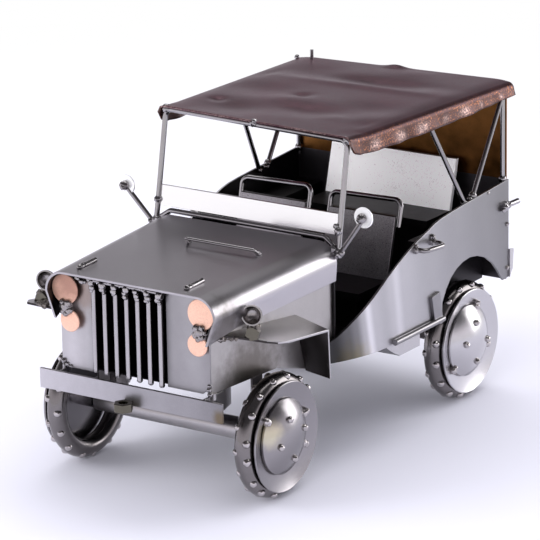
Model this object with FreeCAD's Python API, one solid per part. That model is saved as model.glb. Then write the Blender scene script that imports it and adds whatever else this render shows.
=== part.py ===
import FreeCAD, Part
import os
from math import cos, degrees, pi, radians, sin, sqrt

from FreeCAD import Placement, Rotation, Vector

# A small army 4x4 car cut, bent and welded by hand from sheet steel, steel wire and
# copper. Millimetres. Front is -Y, the car's left side is +X, Z is up, ground at 0.
# Stations are counted backwards from the front face of the bumper.

os.makedirs("parts", exist_ok=True)

# driving sizes of the whole car
overall_length = 245.0
bumper_length = 100.0
wheelbase = 161.0
wheel_radius = 29.0
body_half_width = 61.0
hood_top = 102.2
roof_top = 154.8
sheet = 1.2
thin_sheet = 0.8
wire = 2.6
weld_ball = 1.7
knob_taper = 0.55
seat_gap = 0.15
seat_sink = 0.2

# tow nut under the bumper, which is the foremost piece
nut_across_flats = 8.0
nut_height = 4.0
nut_bore = 4.2
nut_middle = -0.6
nut_low = 43.4

nose_y = nut_across_flats - overall_length / 2


def at(station):
    return nose_y + station


def box(x0, x1, s0, s1, z0, z1):
    return Part.makeBox(x1 - x0, s1 - s0, z1 - z0, Vector(x0, at(s0), z0))


def rod(points, radius):
    # straight wires through the points, mitred at every bend
    legs = []
    ways = [(end - start).normalize() for start, end in zip(points[:-1], points[1:])]
    spare = 2 * radius
    reach = 4 * radius
    for number, way in enumerate(ways):
        start, end = points[number], points[number + 1]
        first = number == 0
        last = number == len(ways) - 1
        low = start if first else start - way * spare
        high = end if last else end + way * spare
        leg = Part.makeCylinder(radius, (high - low).Length, low, way)
        if not first:
            leg = leg.cut(Part.makeCylinder(reach, reach, start, -(ways[number - 1] + way)))
        if not last:
            leg = leg.cut(Part.makeCylinder(reach, reach, end, way + ways[number + 1]))
        legs.append(leg)
    body = legs[0]
    for leg in legs[1:]:
        body = body.fuse(leg)
    return body


def knob(foot, way, radius, height):
    # a rivet or bead head: a low cone with a flat tip
    return Part.makeCone(radius, radius * knob_taper, height, foot, way)


def mirrored(shape):
    return shape.mirror(Vector(0, 0, 0), Vector(1, 0, 0))


def sided(shape, sign):
    return shape if sign > 0 else mirrored(shape)


def turned(shape, station):
    # half a turn about the upright through the middle of the car, for pieces with no hand
    return shape.rotated(Vector(0, at(station), 0), Vector(0, 0, 1), degrees(pi))


def fuse_all(shapes):
    body = shapes[0]
    if len(shapes) > 1:
        body = body.multiFuse(shapes[1:])
    return body


def sheet_box(x0, x1, s0, s1, z0, z1):
    # four upright walls of thin sheet
    inner = box(
        x0 + thin_sheet, x1 - thin_sheet, s0 + thin_sheet, s1 - thin_sheet, z0 - sheet, z1 + sheet
    )
    return box(x0, x1, s0, s1, z0, z1).cut(inner)


def main_solid(shape):
    # the largest solid, without the slivers that a cut leaves
    return sorted(shape.Solids, key=lambda solid: solid.Volume)[-1]


def prism_x(outline, x0, x1):
    # outline of (station, height) pairs pushed along X
    points = [Vector(x0, at(s), z) for s, z in outline]
    face = Part.Face(Part.makePolygon(points + points[:1]))
    return face.extrude(Vector(x1 - x0, 0, 0))


def prism_y(outline, s0, s1):
    # outline of (x, height) pairs pushed backwards
    points = [Vector(x, at(s0), z) for x, z in outline]
    face = Part.Face(Part.makePolygon(points + points[:1]))
    return face.extrude(Vector(0, s1 - s0, 0))


def prism_z(outline, z0, z1):
    # outline of (x, station) pairs pushed upwards
    points = [Vector(x, at(s), z0) for x, s in outline]
    face = Part.Face(Part.makePolygon(points + points[:1]))
    return face.extrude(Vector(0, 0, z1 - z0))


# bumper: a flat bar across the nose
bumper_thick = 1.5
bumper_low = 44.9
bumper_high = 54.2


def make_bumper():
    return box(-bumper_length / 2, bumper_length / 2, 0, bumper_thick, bumper_low, bumper_high)


def make_tow_nut():
    corner = nut_across_flats / 2 / cos(pi / 6)
    points = []
    for side in range(6):
        turn = pi / 6 + side * pi / 3
        points.append(
            Vector(
                nut_middle + corner * sin(turn),
                at(-nut_across_flats / 2) + corner * cos(turn),
                nut_low,
            )
        )
    body = Part.Face(Part.makePolygon(points + points[:1])).extrude(Vector(0, 0, nut_height))
    hole = Part.makeCylinder(
        nut_bore / 2, nut_height, Vector(nut_middle, at(-nut_across_flats / 2), nut_low)
    )
    return body.cut(hole)


# brackets: strips that run back from the bumper along the engine bay
bracket_x = 40.0
bracket_end = 25.5
bracket_bend = 16.5
bracket_kick = 2.4
bracket_weld = 2.0
bracket_weld_rise = 3.2
bracket_weld_station = 7.5


def make_frame_bracket(sign):
    outline = [
        (bracket_x - sheet, bumper_thick),
        (bracket_x, bumper_thick),
        (bracket_x, bracket_bend),
        (bracket_x - bracket_kick, bracket_end),
        (bracket_x - bracket_kick - sheet, bracket_end),
        (bracket_x - sheet, bracket_bend),
    ]
    strip = sided(prism_z(outline, bumper_low, bumper_high), sign)
    weld = Part.makeCylinder(
        bracket_weld,
        bracket_weld_rise,
        Vector(sign * bracket_x, at(bracket_weld_station), bumper_high - bracket_weld_rise / 2),
    )
    body = strip.fuse(weld)
    return body.cut(make_grille_panel()).cut(sided(make_engine_side(), sign))


# hood: one bent sheet, a little wider at its rear, with the side lips curling in at the front
hood_front = -1.0
hood_rear = 93.0
hood_front_half = 46.4
hood_rear_half = 51.0
hood_rear_top = 104.4
hood_bend = 10.0
hood_front_low = 79.8
hood_rear_low = 86.2
hood_front_curl = 4.6
hood_rear_curl = 0.6
hood_lip_end = 17.0
hood_lip_low = 84.4
hood_lip_curl = 1.4


def hood_wire(station, half, top, low, curl, inset):
    # closed section: outside from right lip over the top to left lip, then back inside
    def side(reach, bend, height):
        middle = Vector(half - hood_bend, 0, top - hood_bend)
        start = Vector(half - hood_bend, 0, top - reach)
        through = middle + Vector(bend * sin(pi / 4), 0, bend * cos(pi / 4))
        end = middle + Vector(bend, 0, 0)
        return start, through, end, Vector(half - reach - curl, 0, height)

    def lift(point, sign):
        return Vector(sign * point.x, at(station), point.z)

    outer = side(inset, hood_bend - inset, low)
    inner = side(inset + sheet, hood_bend - inset - sheet, low)
    edges = []

    def line(a, b):
        edges.append(Part.LineSegment(a, b).toShape())

    def arc(a, b, c):
        edges.append(Part.Arc(a, b, c).toShape())

    line(lift(outer[3], -1), lift(outer[2], -1))
    arc(lift(outer[2], -1), lift(outer[1], -1), lift(outer[0], -1))
    line(lift(outer[0], -1), lift(outer[0], 1))
    arc(lift(outer[0], 1), lift(outer[1], 1), lift(outer[2], 1))
    line(lift(outer[2], 1), lift(outer[3], 1))
    line(lift(outer[3], 1), lift(inner[3], 1))
    line(lift(inner[3], 1), lift(inner[2], 1))
    arc(lift(inner[2], 1), lift(inner[1], 1), lift(inner[0], 1))
    line(lift(inner[0], 1), lift(inner[0], -1))
    arc(lift(inner[0], -1), lift(inner[1], -1), lift(inner[2], -1))
    line(lift(inner[2], -1), lift(inner[3], -1))
    line(lift(inner[3], -1), lift(outer[3], -1))
    return Part.Wire(edges)


def hood_space():
    # the room under the hood sheet, used to trim what stands in it
    def wire_at(station, half, top, curl):
        edge = half - sheet
        middle = Vector(half - hood_bend, 0, top - hood_bend)
        bend = hood_bend - sheet
        points = []
        for sign in (-1, 1):
            start = Vector(sign * (half - hood_bend), at(station), top - sheet)
            through = Vector(
                sign * (middle.x + bend * sin(pi / 4)), at(station), middle.z + bend * cos(pi / 4)
            )
            end = Vector(sign * edge, at(station), middle.z)
            foot = Vector(sign * edge, at(station), 0)
            points.append((start, through, end, foot))
        left, right = points
        edges = [
            Part.LineSegment(left[3], left[2]).toShape(),
            Part.Arc(left[2], left[1], left[0]).toShape(),
            Part.LineSegment(left[0], right[0]).toShape(),
            Part.Arc(right[0], right[1], right[2]).toShape(),
            Part.LineSegment(right[2], right[3]).toShape(),
            Part.LineSegment(right[3], left[3]).toShape(),
        ]
        return Part.Wire(edges)

    front = wire_at(hood_front, hood_front_half, hood_top, hood_front_curl)
    rear = wire_at(hood_rear, hood_rear_half, hood_rear_top, hood_rear_curl)
    return Part.makeLoft([front, rear], True, True)


def make_hood():
    front = hood_wire(
        hood_front, hood_front_half, hood_top, hood_front_low, hood_front_curl, 0
    )
    share = (hood_lip_end - hood_front) / (hood_rear - hood_front)
    half = hood_front_half + share * (hood_rear_half - hood_front_half)
    lip = hood_wire(hood_lip_end, half, hood_height(hood_lip_end), hood_lip_low, hood_lip_curl, 0)
    rear = hood_wire(hood_rear, hood_rear_half, hood_rear_top, hood_rear_low, hood_rear_curl, 0)
    return Part.makeLoft([front, lip, rear], True, True)


def hood_height(station):
    share = (station - hood_front) / (hood_rear - hood_front)
    return hood_top + share * (hood_rear_top - hood_top)


# hood fittings: a rest bar for the folded screen and two catches
rest_station = 58.2
rest_half = 18.6
rest_lift = 3.4
rest_shift = 10.3
rest_back = 3.6
rest_wire = 1.8


def make_hood_rest_bar():
    high = hood_height(rest_station) + rest_lift
    low = hood_height(rest_station + rest_back) + rest_wire / 4
    points = []
    for sign in (1, -1):
        x = rest_shift + sign * rest_half
        top = Vector(x, at(rest_station), high)
        foot = Vector(x + sign * rest_wire / 2, at(rest_station + rest_back), low)
        points.append([foot, top])
    return rod(points[0] + points[1][::-1], rest_wire / 2).cut(make_hood())


catch_x = 30.5
catch_front = 7.0
catch_rear = 18.5
catch_wire = 2.2


def make_hood_catches():
    pins = []
    for sign in (-1, 1):
        z0 = hood_height(catch_front) + catch_wire / 3
        z1 = hood_height(catch_rear) + catch_wire / 3
        start = Vector(sign * catch_x, at(catch_front), z0)
        end = Vector(sign * catch_x, at(catch_rear), z1)
        pin = rod([start, end], catch_wire / 2)
        pins.append(pin.cut(make_hood()))
    return Part.makeCompound(pins)


# grille: a flat panel with an open window and seven wires hung in front of it
grille_station = 5.0
grille_half = 40.6
grille_low = 55.3
grille_corner = 4.0
window_middle = -2.8
window_half = 20.4
window_top = 98.0
bar_count = 7
bar_pitch = 6.05
bar_head = 1.8
bar_head_height = 3.0


def make_grille_panel():
    outline = [
        (-grille_half, grille_low + grille_corner),
        (-grille_half + grille_corner, grille_low),
        (window_middle - window_half, grille_low),
        (window_middle - window_half, window_top),
        (window_middle + window_half, window_top),
        (window_middle + window_half, grille_low),
        (grille_half - grille_corner, grille_low),
        (grille_half, grille_low + grille_corner),
        (grille_half, hood_top),
        (-grille_half, hood_top),
    ]
    plate = prism_y(outline, grille_station, grille_station + sheet)
    return plate.common(hood_space())


def make_grille_bars():
    bars = []
    front = grille_station - wire / 2 + seat_sink
    behind = box(-grille_half, grille_half, grille_station, grille_station + wire * 2, 0, hood_top)
    for number in range(bar_count):
        x = window_middle + (number - (bar_count - 1) / 2) * bar_pitch
        top = window_top + wire / 4
        stick = rod([Vector(x, at(front), grille_low), Vector(x, at(front), top)], wire / 2)
        head = Part.makeCylinder(
            bar_head, bar_head_height, Vector(x, at(front), top - bar_head_height / 2)
        )
        bars.append(stick.fuse(head).cut(behind))
    return Part.makeCompound(bars)


# headlamps: a large and a small copper disc joined by a lump of weld
lamp_x = 36.9
lamp_z = 92.7
lamp_radius = 7.4
small_lamp_x = 34.8
small_lamp_z = 77.4
small_lamp_radius = 5.6
lamp_station = 2.4
lamp_thick = 0.9
lump_radius = 2.9
lump_height = 1.8
lump_z = 84.6


def make_headlamp():
    back = Vector(0, 1, 0)
    large = Part.makeCylinder(
        lamp_radius, lamp_thick, Vector(lamp_x, at(lamp_station), lamp_z), back
    )
    small = Part.makeCylinder(
        small_lamp_radius,
        lamp_thick,
        Vector(small_lamp_x, at(lamp_station), small_lamp_z),
        back,
    )
    reach = grille_station - lamp_station
    lump = Part.makeCylinder(
        lump_radius, reach, Vector(lamp_x, at(lamp_station), lump_z), back
    )
    crown = knob(Vector(lamp_x, at(lamp_station), lump_z), -back, lump_radius, lump_height)
    behind = box(0, body_half_width, grille_station, hood_rear, 0, hood_top)
    return fuse_all([large, small, lump, crown]).cut(behind)


# engine bay sides: upright sheets that spread from the grille back to the cowl
bay_front = grille_station + sheet
bay_rear = 92.2
bay_front_half = 40.6
bay_rear_half = 48.4
bay_step = 52.0
bay_low_rear = 49.4
bay_high_front = 83.0
bay_high_rear = 89.8


def bay_half(station):
    share = (station - bay_front) / (bay_rear - bay_front)
    return bay_front_half + share * (bay_rear_half - bay_front_half)


def make_engine_side():
    profile = [
        (bay_front, grille_low),
        (bay_step, grille_low),
        (fender_rear + sheet, bay_low_rear),
        (bay_rear, bay_low_rear),
        (bay_rear, bay_high_rear),
        (bay_front, bay_high_front),
    ]
    solid = prism_x(profile, 0, body_half_width)
    plan = [
        (bay_front_half - sheet, bay_front),
        (bay_front_half, bay_front),
        (bay_rear_half, bay_rear),
        (bay_rear_half - sheet, bay_rear),
    ]
    return solid.common(prism_z(plan, 0, hood_top))


# engine bay floor: one dark sheet between the engine sides, just above the panel's foot
bay_floor_rise = 0.8


def make_bay_floor():
    inner = bay_front_half - sheet + seat_sink
    rear_inner = bay_rear_half - sheet + seat_sink
    low = grille_low + bay_floor_rise
    plan = [
        (-inner, bay_front),
        (inner, bay_front),
        (rear_inner, bay_rear),
        (-rear_inner, bay_rear),
    ]
    plate = prism_z(plan, low, low + thin_sheet)
    side = make_engine_side()
    plate = plate.cut(side).cut(mirrored(side)).cut(make_front_axle())
    return main_solid(plate)


# front fenders: twisted plates that fall outwards, each with a flange down at the rear
fender_front = 4.0
fender_rear = 71.0
fender_outer = 60.2
fender_in_front_z = 81.8
fender_in_rear_z = 79.0
fender_out_front_z = 78.6
fender_out_rear_z = 70.8
fender_in_end = 63.0
fender_left_plan = [(0.0, 10.5), (0.30, 17.2), (0.55, 22.0), (0.80, 27.2), (0.94, 31.8), (1.0, 38.0)]
fender_right_plan = [(0.0, 8.6), (0.55, 6.2), (0.90, 5.0), (1.0, 9.0)]
fender_right_lift = 2.6
flange_low_out = 47.0
flange_low_in = 49.4
flange_in_low_station = 73.0
flange_out_low_station = 72.2


def fender_z(x, station, lift):
    along = (station - fender_front) / (fender_rear - fender_front)
    inner = fender_in_front_z + along * (fender_in_rear_z - fender_in_front_z)
    outer_front = fender_out_front_z + lift
    outer = outer_front + along * (fender_out_rear_z - outer_front)
    share = (x - bay_front_half) / (fender_outer - bay_front_half)
    return inner + share * (outer - inner)


def thin_wire(points, thick):
    low = [point - Vector(0, 0, thick) for point in points[::-1]]
    ring = points + low
    return Part.makePolygon(ring + ring[:1])


def make_fender(plan_shares, lift):
    start = bay_front_half - sheet
    sections = []
    for station in (fender_front, fender_rear):
        ends = [
            Vector(x, at(station), fender_z(x, station, lift)) for x in (start, fender_outer)
        ]
        sections.append(thin_wire(ends, sheet))
    plate = Part.makeLoft(sections, True, True)
    run = fender_outer - start
    lead = [(start + share * run, station) for share, station in plan_shares]
    plan = lead + [(fender_outer, fender_rear), (start, fender_in_end)]
    plate = plate.common(prism_z(plan, 0, hood_top))

    def flange_wire(x, top_station, low_station, low_z):
        high_z = fender_z(x, top_station, lift) - sheet / 4
        corners = [
            Vector(x, at(top_station) - sheet / 2, high_z),
            Vector(x, at(low_station) - sheet / 2, low_z),
            Vector(x, at(low_station) + sheet / 2, low_z),
            Vector(x, at(top_station) + sheet / 2, high_z),
        ]
        return Part.makePolygon(corners + corners[:1])

    flange = Part.makeLoft(
        [
            flange_wire(start, fender_in_end, flange_in_low_station, flange_low_in),
            flange_wire(fender_outer, fender_rear, flange_out_low_station, flange_low_out),
        ],
        True,
        True,
    )
    body = plate.fuse(flange)
    inside = prism_z(
        [
            (0, 0),
            (bay_half(0), 0),
            (bay_half(hood_rear), hood_rear),
            (0, hood_rear),
        ],
        0,
        hood_top,
    )
    return body.cut(inside).cut(make_hood())


# side lamps: a hollow half-ball that leans forward off a nut on each fender
lamp_nut_left_x = 51.6
lamp_nut_left_station = 25.6
lamp_nut_right_x = 52.4
lamp_nut_right_station = 12.0
cup_rise = 12.2
cup_ahead = 4.6
cup_aside = 1.3
cup_radius = 4.9
cup_wall = 0.9
cup_nut_flats = 5.6
cup_nut_height = 3.0
cup_stem = 1.7


def make_side_lamp(sign, out, station, lift, plan_shares):
    foot_z = fender_z(out, station, lift)
    x = sign * out
    low = Vector(x, at(station), foot_z - sheet)
    centre = Vector(sign * (out + cup_aside), at(station - cup_ahead), foot_z + cup_rise)
    shell = Part.makeSphere(cup_radius, centre)
    room = Part.makeBox(
        cup_radius * 2,
        cup_radius,
        cup_radius * 2,
        centre - Vector(cup_radius, cup_radius + cup_wall, cup_radius),
    )
    back = centre + Vector(0, cup_radius / 2, -cup_radius * 4 / 5)
    nut_top = Vector(x, at(station), foot_z + cup_nut_height / 2)
    stem = Part.makeCylinder(cup_stem, (back - nut_top).Length, nut_top, back - nut_top)
    corner = cup_nut_flats / 2 / cos(pi / 6)
    ring = [
        low + Vector(corner * sin(side * pi / 3), corner * cos(side * pi / 3), 0)
        for side in range(6)
    ]
    nut = Part.Face(Part.makePolygon(ring + ring[:1])).extrude(
        Vector(0, 0, cup_nut_height + sheet)
    )
    cavity = Part.makeSphere(cup_radius - cup_wall, centre)
    body = fuse_all([shell, stem, nut]).cut(room).cut(cavity)
    plate = sided(make_fender(plan_shares, lift), sign)
    return main_solid(body.cut(plate).cut(make_hood()))


# body plan: straight sides that curl in to the cowl at the front
body_rear = 231.0
side_front = 88.0
side_bend_start = 127.0
side_bend = 72.0
side_low_z = 47.6
side_rear_z = 102.8
floor_z = 51.0


def plan_x(station, inset):
    radius = side_bend - inset
    run = max(0, side_bend_start - station)
    return body_half_width - inset - (radius - sqrt(radius**2 - run**2))


def plan_edges(inset, front, sign, z):
    # one side of the body in plan, from the front end of the curl to the rear
    middle = (front + side_bend_start) / 2

    def spot(station):
        return Vector(sign * plan_x(station, inset), at(station), z)

    curl = Part.Arc(spot(front), spot(middle), spot(side_bend_start)).toShape()
    straight = Part.LineSegment(spot(side_bend_start), spot(body_rear)).toShape()
    return curl, straight


# stations and heights of the side sheet as shares of its length and height
side_top_shares = [
    (0.000, 0.190),
    (0.025, 0.225),
    (0.075, 0.325),
    (0.125, 0.420),
    (0.180, 0.530),
    (0.231, 0.625),
    (0.290, 0.700),
    (0.345, 0.760),
    (0.415, 0.825),
    (0.480, 0.872),
    (0.520, 0.905),
    (0.560, 0.925),
    (0.630, 0.942),
    (0.710, 0.956),
    (0.850, 0.978),
    (1.000, 1.000),
]
arch_shares = [
    (0.564, 0.030),
    (0.566, 0.170),
    (0.590, 0.270),
    (0.620, 0.352),
    (0.658, 0.412),
    (0.700, 0.445),
    (0.745, 0.455),
    (0.795, 0.434),
    (0.845, 0.385),
    (0.890, 0.308),
    (0.925, 0.215),
    (0.950, 0.130),
    (0.962, 0.098),
]
side_rear_low_share = 0.105


def side_outline():
    run = body_rear - side_front
    rise = side_rear_z - side_low_z

    def spot(share):
        return side_front + share[0] * run, side_low_z + share[1] * rise

    top = [spot(share) for share in side_top_shares]
    arch = [spot(share) for share in arch_shares]
    rear_low = [(body_rear, side_low_z + side_rear_low_share * rise)]
    return top + rear_low + arch[::-1] + [(side_front, side_low_z)]


def make_body_side():
    outer_curl, outer_line = plan_edges(0, side_front, 1, 0)
    inner_curl, inner_line = plan_edges(sheet, side_front, 1, 0)
    ends = [
        Part.LineSegment(
            outer_line.Vertexes[-1].Point, inner_line.Vertexes[-1].Point
        ).toShape(),
        Part.LineSegment(inner_curl.Vertexes[0].Point, outer_curl.Vertexes[0].Point).toShape(),
    ]
    wire_loop = Part.Wire([outer_curl, outer_line, ends[0], inner_line, inner_curl, ends[1]])
    band = Part.Face(wire_loop).extrude(Vector(0, 0, hood_top * 2))
    return band.common(prism_x(side_outline(), 0, body_half_width + sheet))


# wheel houses: boxes inside the body over the rear wheels
house_front = 162.0
house_inner = 46.0
house_top = 87.0
cowl_station = bay_rear
inner_half = body_half_width - sheet


def make_floor():
    front = cowl_station + thin_sheet
    right_curl, right_line = plan_edges(sheet, front, 1, floor_z)
    left_curl, left_line = plan_edges(sheet, front, -1, floor_z)
    tail = Part.LineSegment(
        right_line.Vertexes[-1].Point, left_line.Vertexes[-1].Point
    ).toShape()
    nose = Part.LineSegment(left_curl.Vertexes[0].Point, right_curl.Vertexes[0].Point).toShape()
    loop = Part.Wire([right_curl, right_line, tail, left_line, left_curl, nose])
    plate = Part.Face(loop).extrude(Vector(0, 0, sheet))
    for sign in (-1, 1):
        x0, x1 = sorted((sign * house_inner, sign * body_half_width))
        plate = plate.cut(box(x0, x1, house_front, body_rear, 0, house_top))
    return plate.cut(box(-body_half_width, body_half_width, body_rear - sheet, body_rear, 0, house_top))


def make_rear_panel():
    low = side_low_z + side_rear_low_share * (side_rear_z - side_low_z)
    return box(-inner_half, inner_half, body_rear - sheet, body_rear, low - sheet, side_rear_z)


def make_wheel_house():
    rear = body_rear - sheet
    wall = box(house_inner, house_inner + thin_sheet, house_front, rear, floor_z, house_top)
    lid = box(house_inner, inner_half, house_front, rear, house_top - thin_sheet, house_top)
    face = box(
        house_inner, inner_half, house_front, house_front + thin_sheet, floor_z, house_top
    )
    return fuse_all([wall, lid, face])


# cowl: the wall between engine bay and cabin, up under the hood
def make_firewall():
    plate = box(
        -body_half_width,
        body_half_width,
        cowl_station,
        cowl_station + thin_sheet,
        bay_low_rear,
        hood_rear_top,
    )
    return plate.common(hood_space())


# screen: two posts, a top wire and a lower wire that bends down at its ends, welded up
screen_foot_half = 50.8
screen_top_half = 49.4
screen_foot_station = 94.3
screen_foot_z = 98.6
screen_top_station = 102.4
screen_lean = 0.153
scuttle_z = 105.6
scuttle_half = 43.0
screen_plate_low = 107.2
screen_plate_high = 117.0


def screen_station(z):
    return screen_foot_station + screen_lean * (z - screen_foot_z)


def make_screen_frame():
    def point(x, z):
        return Vector(x, at(screen_station(z)), z)

    def under_front(x):
        return point(x, under_roof(x, screen_top_station) - seat_gap)

    foot = screen_foot_half
    head = screen_top_half
    bow = rod(
        [
            point(-foot, screen_foot_z),
            under_front(-head),
            under_front(head),
            point(foot, screen_foot_z),
        ],
        wire / 2,
    )
    lower = rod(
        [
            point(-foot, screen_foot_z),
            point(-scuttle_half, scuttle_z),
            point(scuttle_half, scuttle_z),
            point(foot, screen_foot_z),
        ],
        wire / 2,
    )
    return main_solid(bow.fuse(lower).cut(make_hood()).cut(make_firewall()))


def make_screen_plate():
    half = screen_foot_half - wire / 2 - seat_gap
    rear = wire / 2

    def corner(x, z, back):
        return Vector(x, at(screen_station(z)) + back, z)

    outline = [
        corner(-half, screen_plate_low, rear - sheet),
        corner(-half, screen_plate_high, rear - sheet),
        corner(-half, screen_plate_high, rear),
        corner(-half, screen_plate_low, rear),
    ]
    face = Part.Face(Part.makePolygon(outline + outline[:1]))
    return face.extrude(Vector(2 * half, 0, 0)).cut(make_screen_frame())


# mirrors: a round plate with a ball in its middle, on a wire arm
mirror_left_x = 63.3
mirror_right_x = 65.9
mirror_station = 92.5
mirror_z = 115.7
mirror_radius = 4.9
mirror_thick = 1.0
mirror_foot_x = 52.6
mirror_foot_z = 99.4


def make_mirror(sign):
    mirror_x = mirror_left_x if sign > 0 else mirror_right_x
    centre = Vector(sign * mirror_x, at(mirror_station), mirror_z)
    disc = Part.makeCylinder(mirror_radius, mirror_thick, centre, Vector(0, -1, 0))
    button = knob(
        centre - Vector(0, mirror_thick, 0), Vector(0, -wire, 0), wire * 3 / 5, wire / 2
    )
    arm_end = centre - Vector(0, mirror_thick / 2, 0)
    foot = Vector(sign * mirror_foot_x, at(screen_foot_station), mirror_foot_z)
    arm = rod([foot, arm_end], wire * 2 / 5)
    body = fuse_all([disc, button, arm])
    return body.cut(make_hood()).cut(make_screen_frame())


# steering wheel on its column
steer_x = 25.3
steer_station = 111.0
steer_z = 92.0
steer_radius = 10.0
steer_wire = 1.6
column_foot_z = 73.0


def make_steering_wheel():
    tilt = Vector(0, 1, 1)
    tilt.normalize()
    centre = Vector(steer_x, at(steer_station), steer_z)
    ring = Part.makeTorus(steer_radius, steer_wire / 2, centre, tilt)
    foot = Vector(steer_x, at(cowl_station + thin_sheet), column_foot_z)
    column = rod([foot, centre], steer_wire / 2)
    spoke = Part.makeCylinder(
        steer_wire / 2,
        2 * steer_radius,
        centre - Vector(steer_radius, 0, 0),
        Vector(1, 0, 0),
    )
    return fuse_all([ring, column, spoke]).cut(make_firewall())


# front seats: a plate cushion on a box, a back plate and a wire hoop round its top
seat_x = 25.3
seat_half = 18.6
seat_front = 122.0
seat_rear = 147.0
seat_top = 71.0
seat_plate = 3.6
seat_back_low = 73.0
seat_back_top = 100.4
seat_back_thick = 2.0
seat_back_lean = 5.0
seat_box_inset = 4.0
hoop_half = 19.6
hoop_top = 108.0
hoop_low = 98.0
hoop_corner = 2.4
hoop_wire = 2.2


def make_seat():
    x0 = seat_x - seat_half
    x1 = seat_x + seat_half
    cushion = box(x0, x1, seat_front, seat_rear, seat_top - seat_plate, seat_top)
    pedestal = sheet_box(
        x0 + seat_box_inset,
        x1 - seat_box_inset,
        seat_front + seat_box_inset,
        seat_rear - seat_box_inset,
        floor_z + sheet,
        seat_top - sheet,
    )
    slope = seat_back_lean / (seat_back_top - seat_back_low)

    def lean(z):
        return seat_rear + slope * (z - seat_back_low)

    foot_z = seat_top - seat_plate
    back = prism_x(
        [
            (lean(foot_z), foot_z),
            (lean(foot_z) + seat_back_thick, foot_z),
            (lean(seat_back_top) + seat_back_thick, seat_back_top),
            (lean(seat_back_top), seat_back_top),
        ],
        x0,
        x1,
    )

    def spot(x, z):
        return Vector(x, at(lean(z) + seat_back_thick / 2), z)

    left, right = seat_x - hoop_half, seat_x + hoop_half
    hoop = rod(
        [
            spot(left, hoop_low),
            spot(left, hoop_top - hoop_corner),
            spot(left + hoop_corner, hoop_top),
            spot(right - hoop_corner, hoop_top),
            spot(right, hoop_top - hoop_corner),
            spot(right, hoop_low),
        ],
        hoop_wire / 2,
    )
    return fuse_all([cushion, pedestal, back, hoop])


# rear bench between the wheel houses
bench_half = 35.8
bench_front = 196.0
bench_rear = 221.0
bench_top = 86.5
bench_plate = 3.6
bench_back_top = 111.0
bench_back_thick = 2.4
bench_back_lean = 3.0


def make_rear_bench():
    cushion = box(
        -bench_half, bench_half, bench_front, bench_rear, bench_top - bench_plate, bench_top
    )
    pedestal = sheet_box(
        -bench_half + seat_box_inset,
        bench_half - seat_box_inset,
        bench_front + seat_box_inset,
        bench_rear - seat_box_inset,
        floor_z + sheet,
        bench_top - sheet,
    )
    foot_z = bench_top - bench_plate
    back = prism_x(
        [
            (bench_rear - sheet, foot_z),
            (bench_rear + bench_back_thick, foot_z),
            (bench_rear + bench_back_lean + bench_back_thick, bench_back_top),
            (bench_rear + bench_back_lean, bench_back_top),
        ],
        -bench_half,
        bench_half,
    )
    return fuse_all([cushion, pedestal, back])


# roof: thin copper, wider at the rear, with its side edges turned down. The right side
# stands higher at the front and lower at the rear, so the sheet is twisted.
roof_front_half = 51.7
roof_rear_half = 62.4
roof_front = 100.2
roof_rear = 233.4
roof_front_left_drop = 2.0
roof_rear_left_drop = 3.3
roof_rear_right_drop = 5.9
roof_edge = 7.2
roof_wall = 0.8
roof_flare = 1.2


def roof_half(station):
    share = (station - roof_front) / (roof_rear - roof_front)
    return roof_front_half + share * (roof_rear_half - roof_front_half)


def roof_z(x, station):
    back = (station - roof_front) / (roof_rear - roof_front)
    left = (1 + x / roof_half(station)) / 2
    left_drop = roof_front_left_drop + back * (roof_rear_left_drop - roof_front_left_drop)
    right_drop = back * roof_rear_right_drop
    return roof_top - left * left_drop - (1 - left) * right_drop


def make_roof_sheet():
    sections = []
    for station in (roof_front, roof_rear):
        half = roof_half(station)
        left = roof_z(half, station)
        right = roof_z(-half, station)
        ring = [
            (-half - roof_flare, right - roof_edge),
            (-half, right),
            (half, left),
            (half + roof_flare, left - roof_edge),
            (half + roof_flare - roof_wall, left - roof_edge),
            (half - roof_wall, left - roof_wall),
            (-half + roof_wall, right - roof_wall),
            (-half - roof_flare + roof_wall, right - roof_edge),
        ]
        points = [Vector(x, at(station), z) for x, z in ring]
        sections.append(Part.makePolygon(points + points[:1]))
    return Part.makeLoft(sections, True, True)


# rear posts stand in the body corners and carry the roof and the rear curtain
post_station = body_rear - sheet - wire / 2 + seat_sink
post_half = inner_half - wire / 2 + seat_sink
post_sink = 3.0
post_foot_z = side_rear_z - post_sink


def under_roof(x, station):
    return roof_z(x, station) - roof_wall - wire / 2


def make_rear_post(sign):
    foot = Vector(sign * post_half, at(post_station), post_foot_z)
    head_z = under_roof(sign * post_half, post_station)
    head = Vector(sign * post_half, at(post_station), head_z)
    inner = Vector(0, at(post_station), under_roof(0, post_station))
    stick = rod([foot, head, inner], wire / 2)
    return stick.cut(sided(make_body_side(), sign)).cut(make_rear_panel())


def make_rear_curtain():
    edge = post_half + wire / 2
    front = body_rear - sheet + seat_sink
    outline = [(-edge, side_rear_z), (edge, side_rear_z)]
    for x in (edge, -edge):
        outline.append((x, roof_z(x, body_rear) - roof_wall - wire / 4))
    return prism_y(outline, front, front + roof_wall)


# struts: a V of wires on each side from the body edge up to the roof
strut_foot_front = 191.0
strut_foot_rear = 199.5
strut_foot_z = 99.6
strut_head_front = 156.5
strut_head_rear = 228.0
strut_foot_x = inner_half - wire / 2 + seat_sink
strut_gap = 1.0


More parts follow.
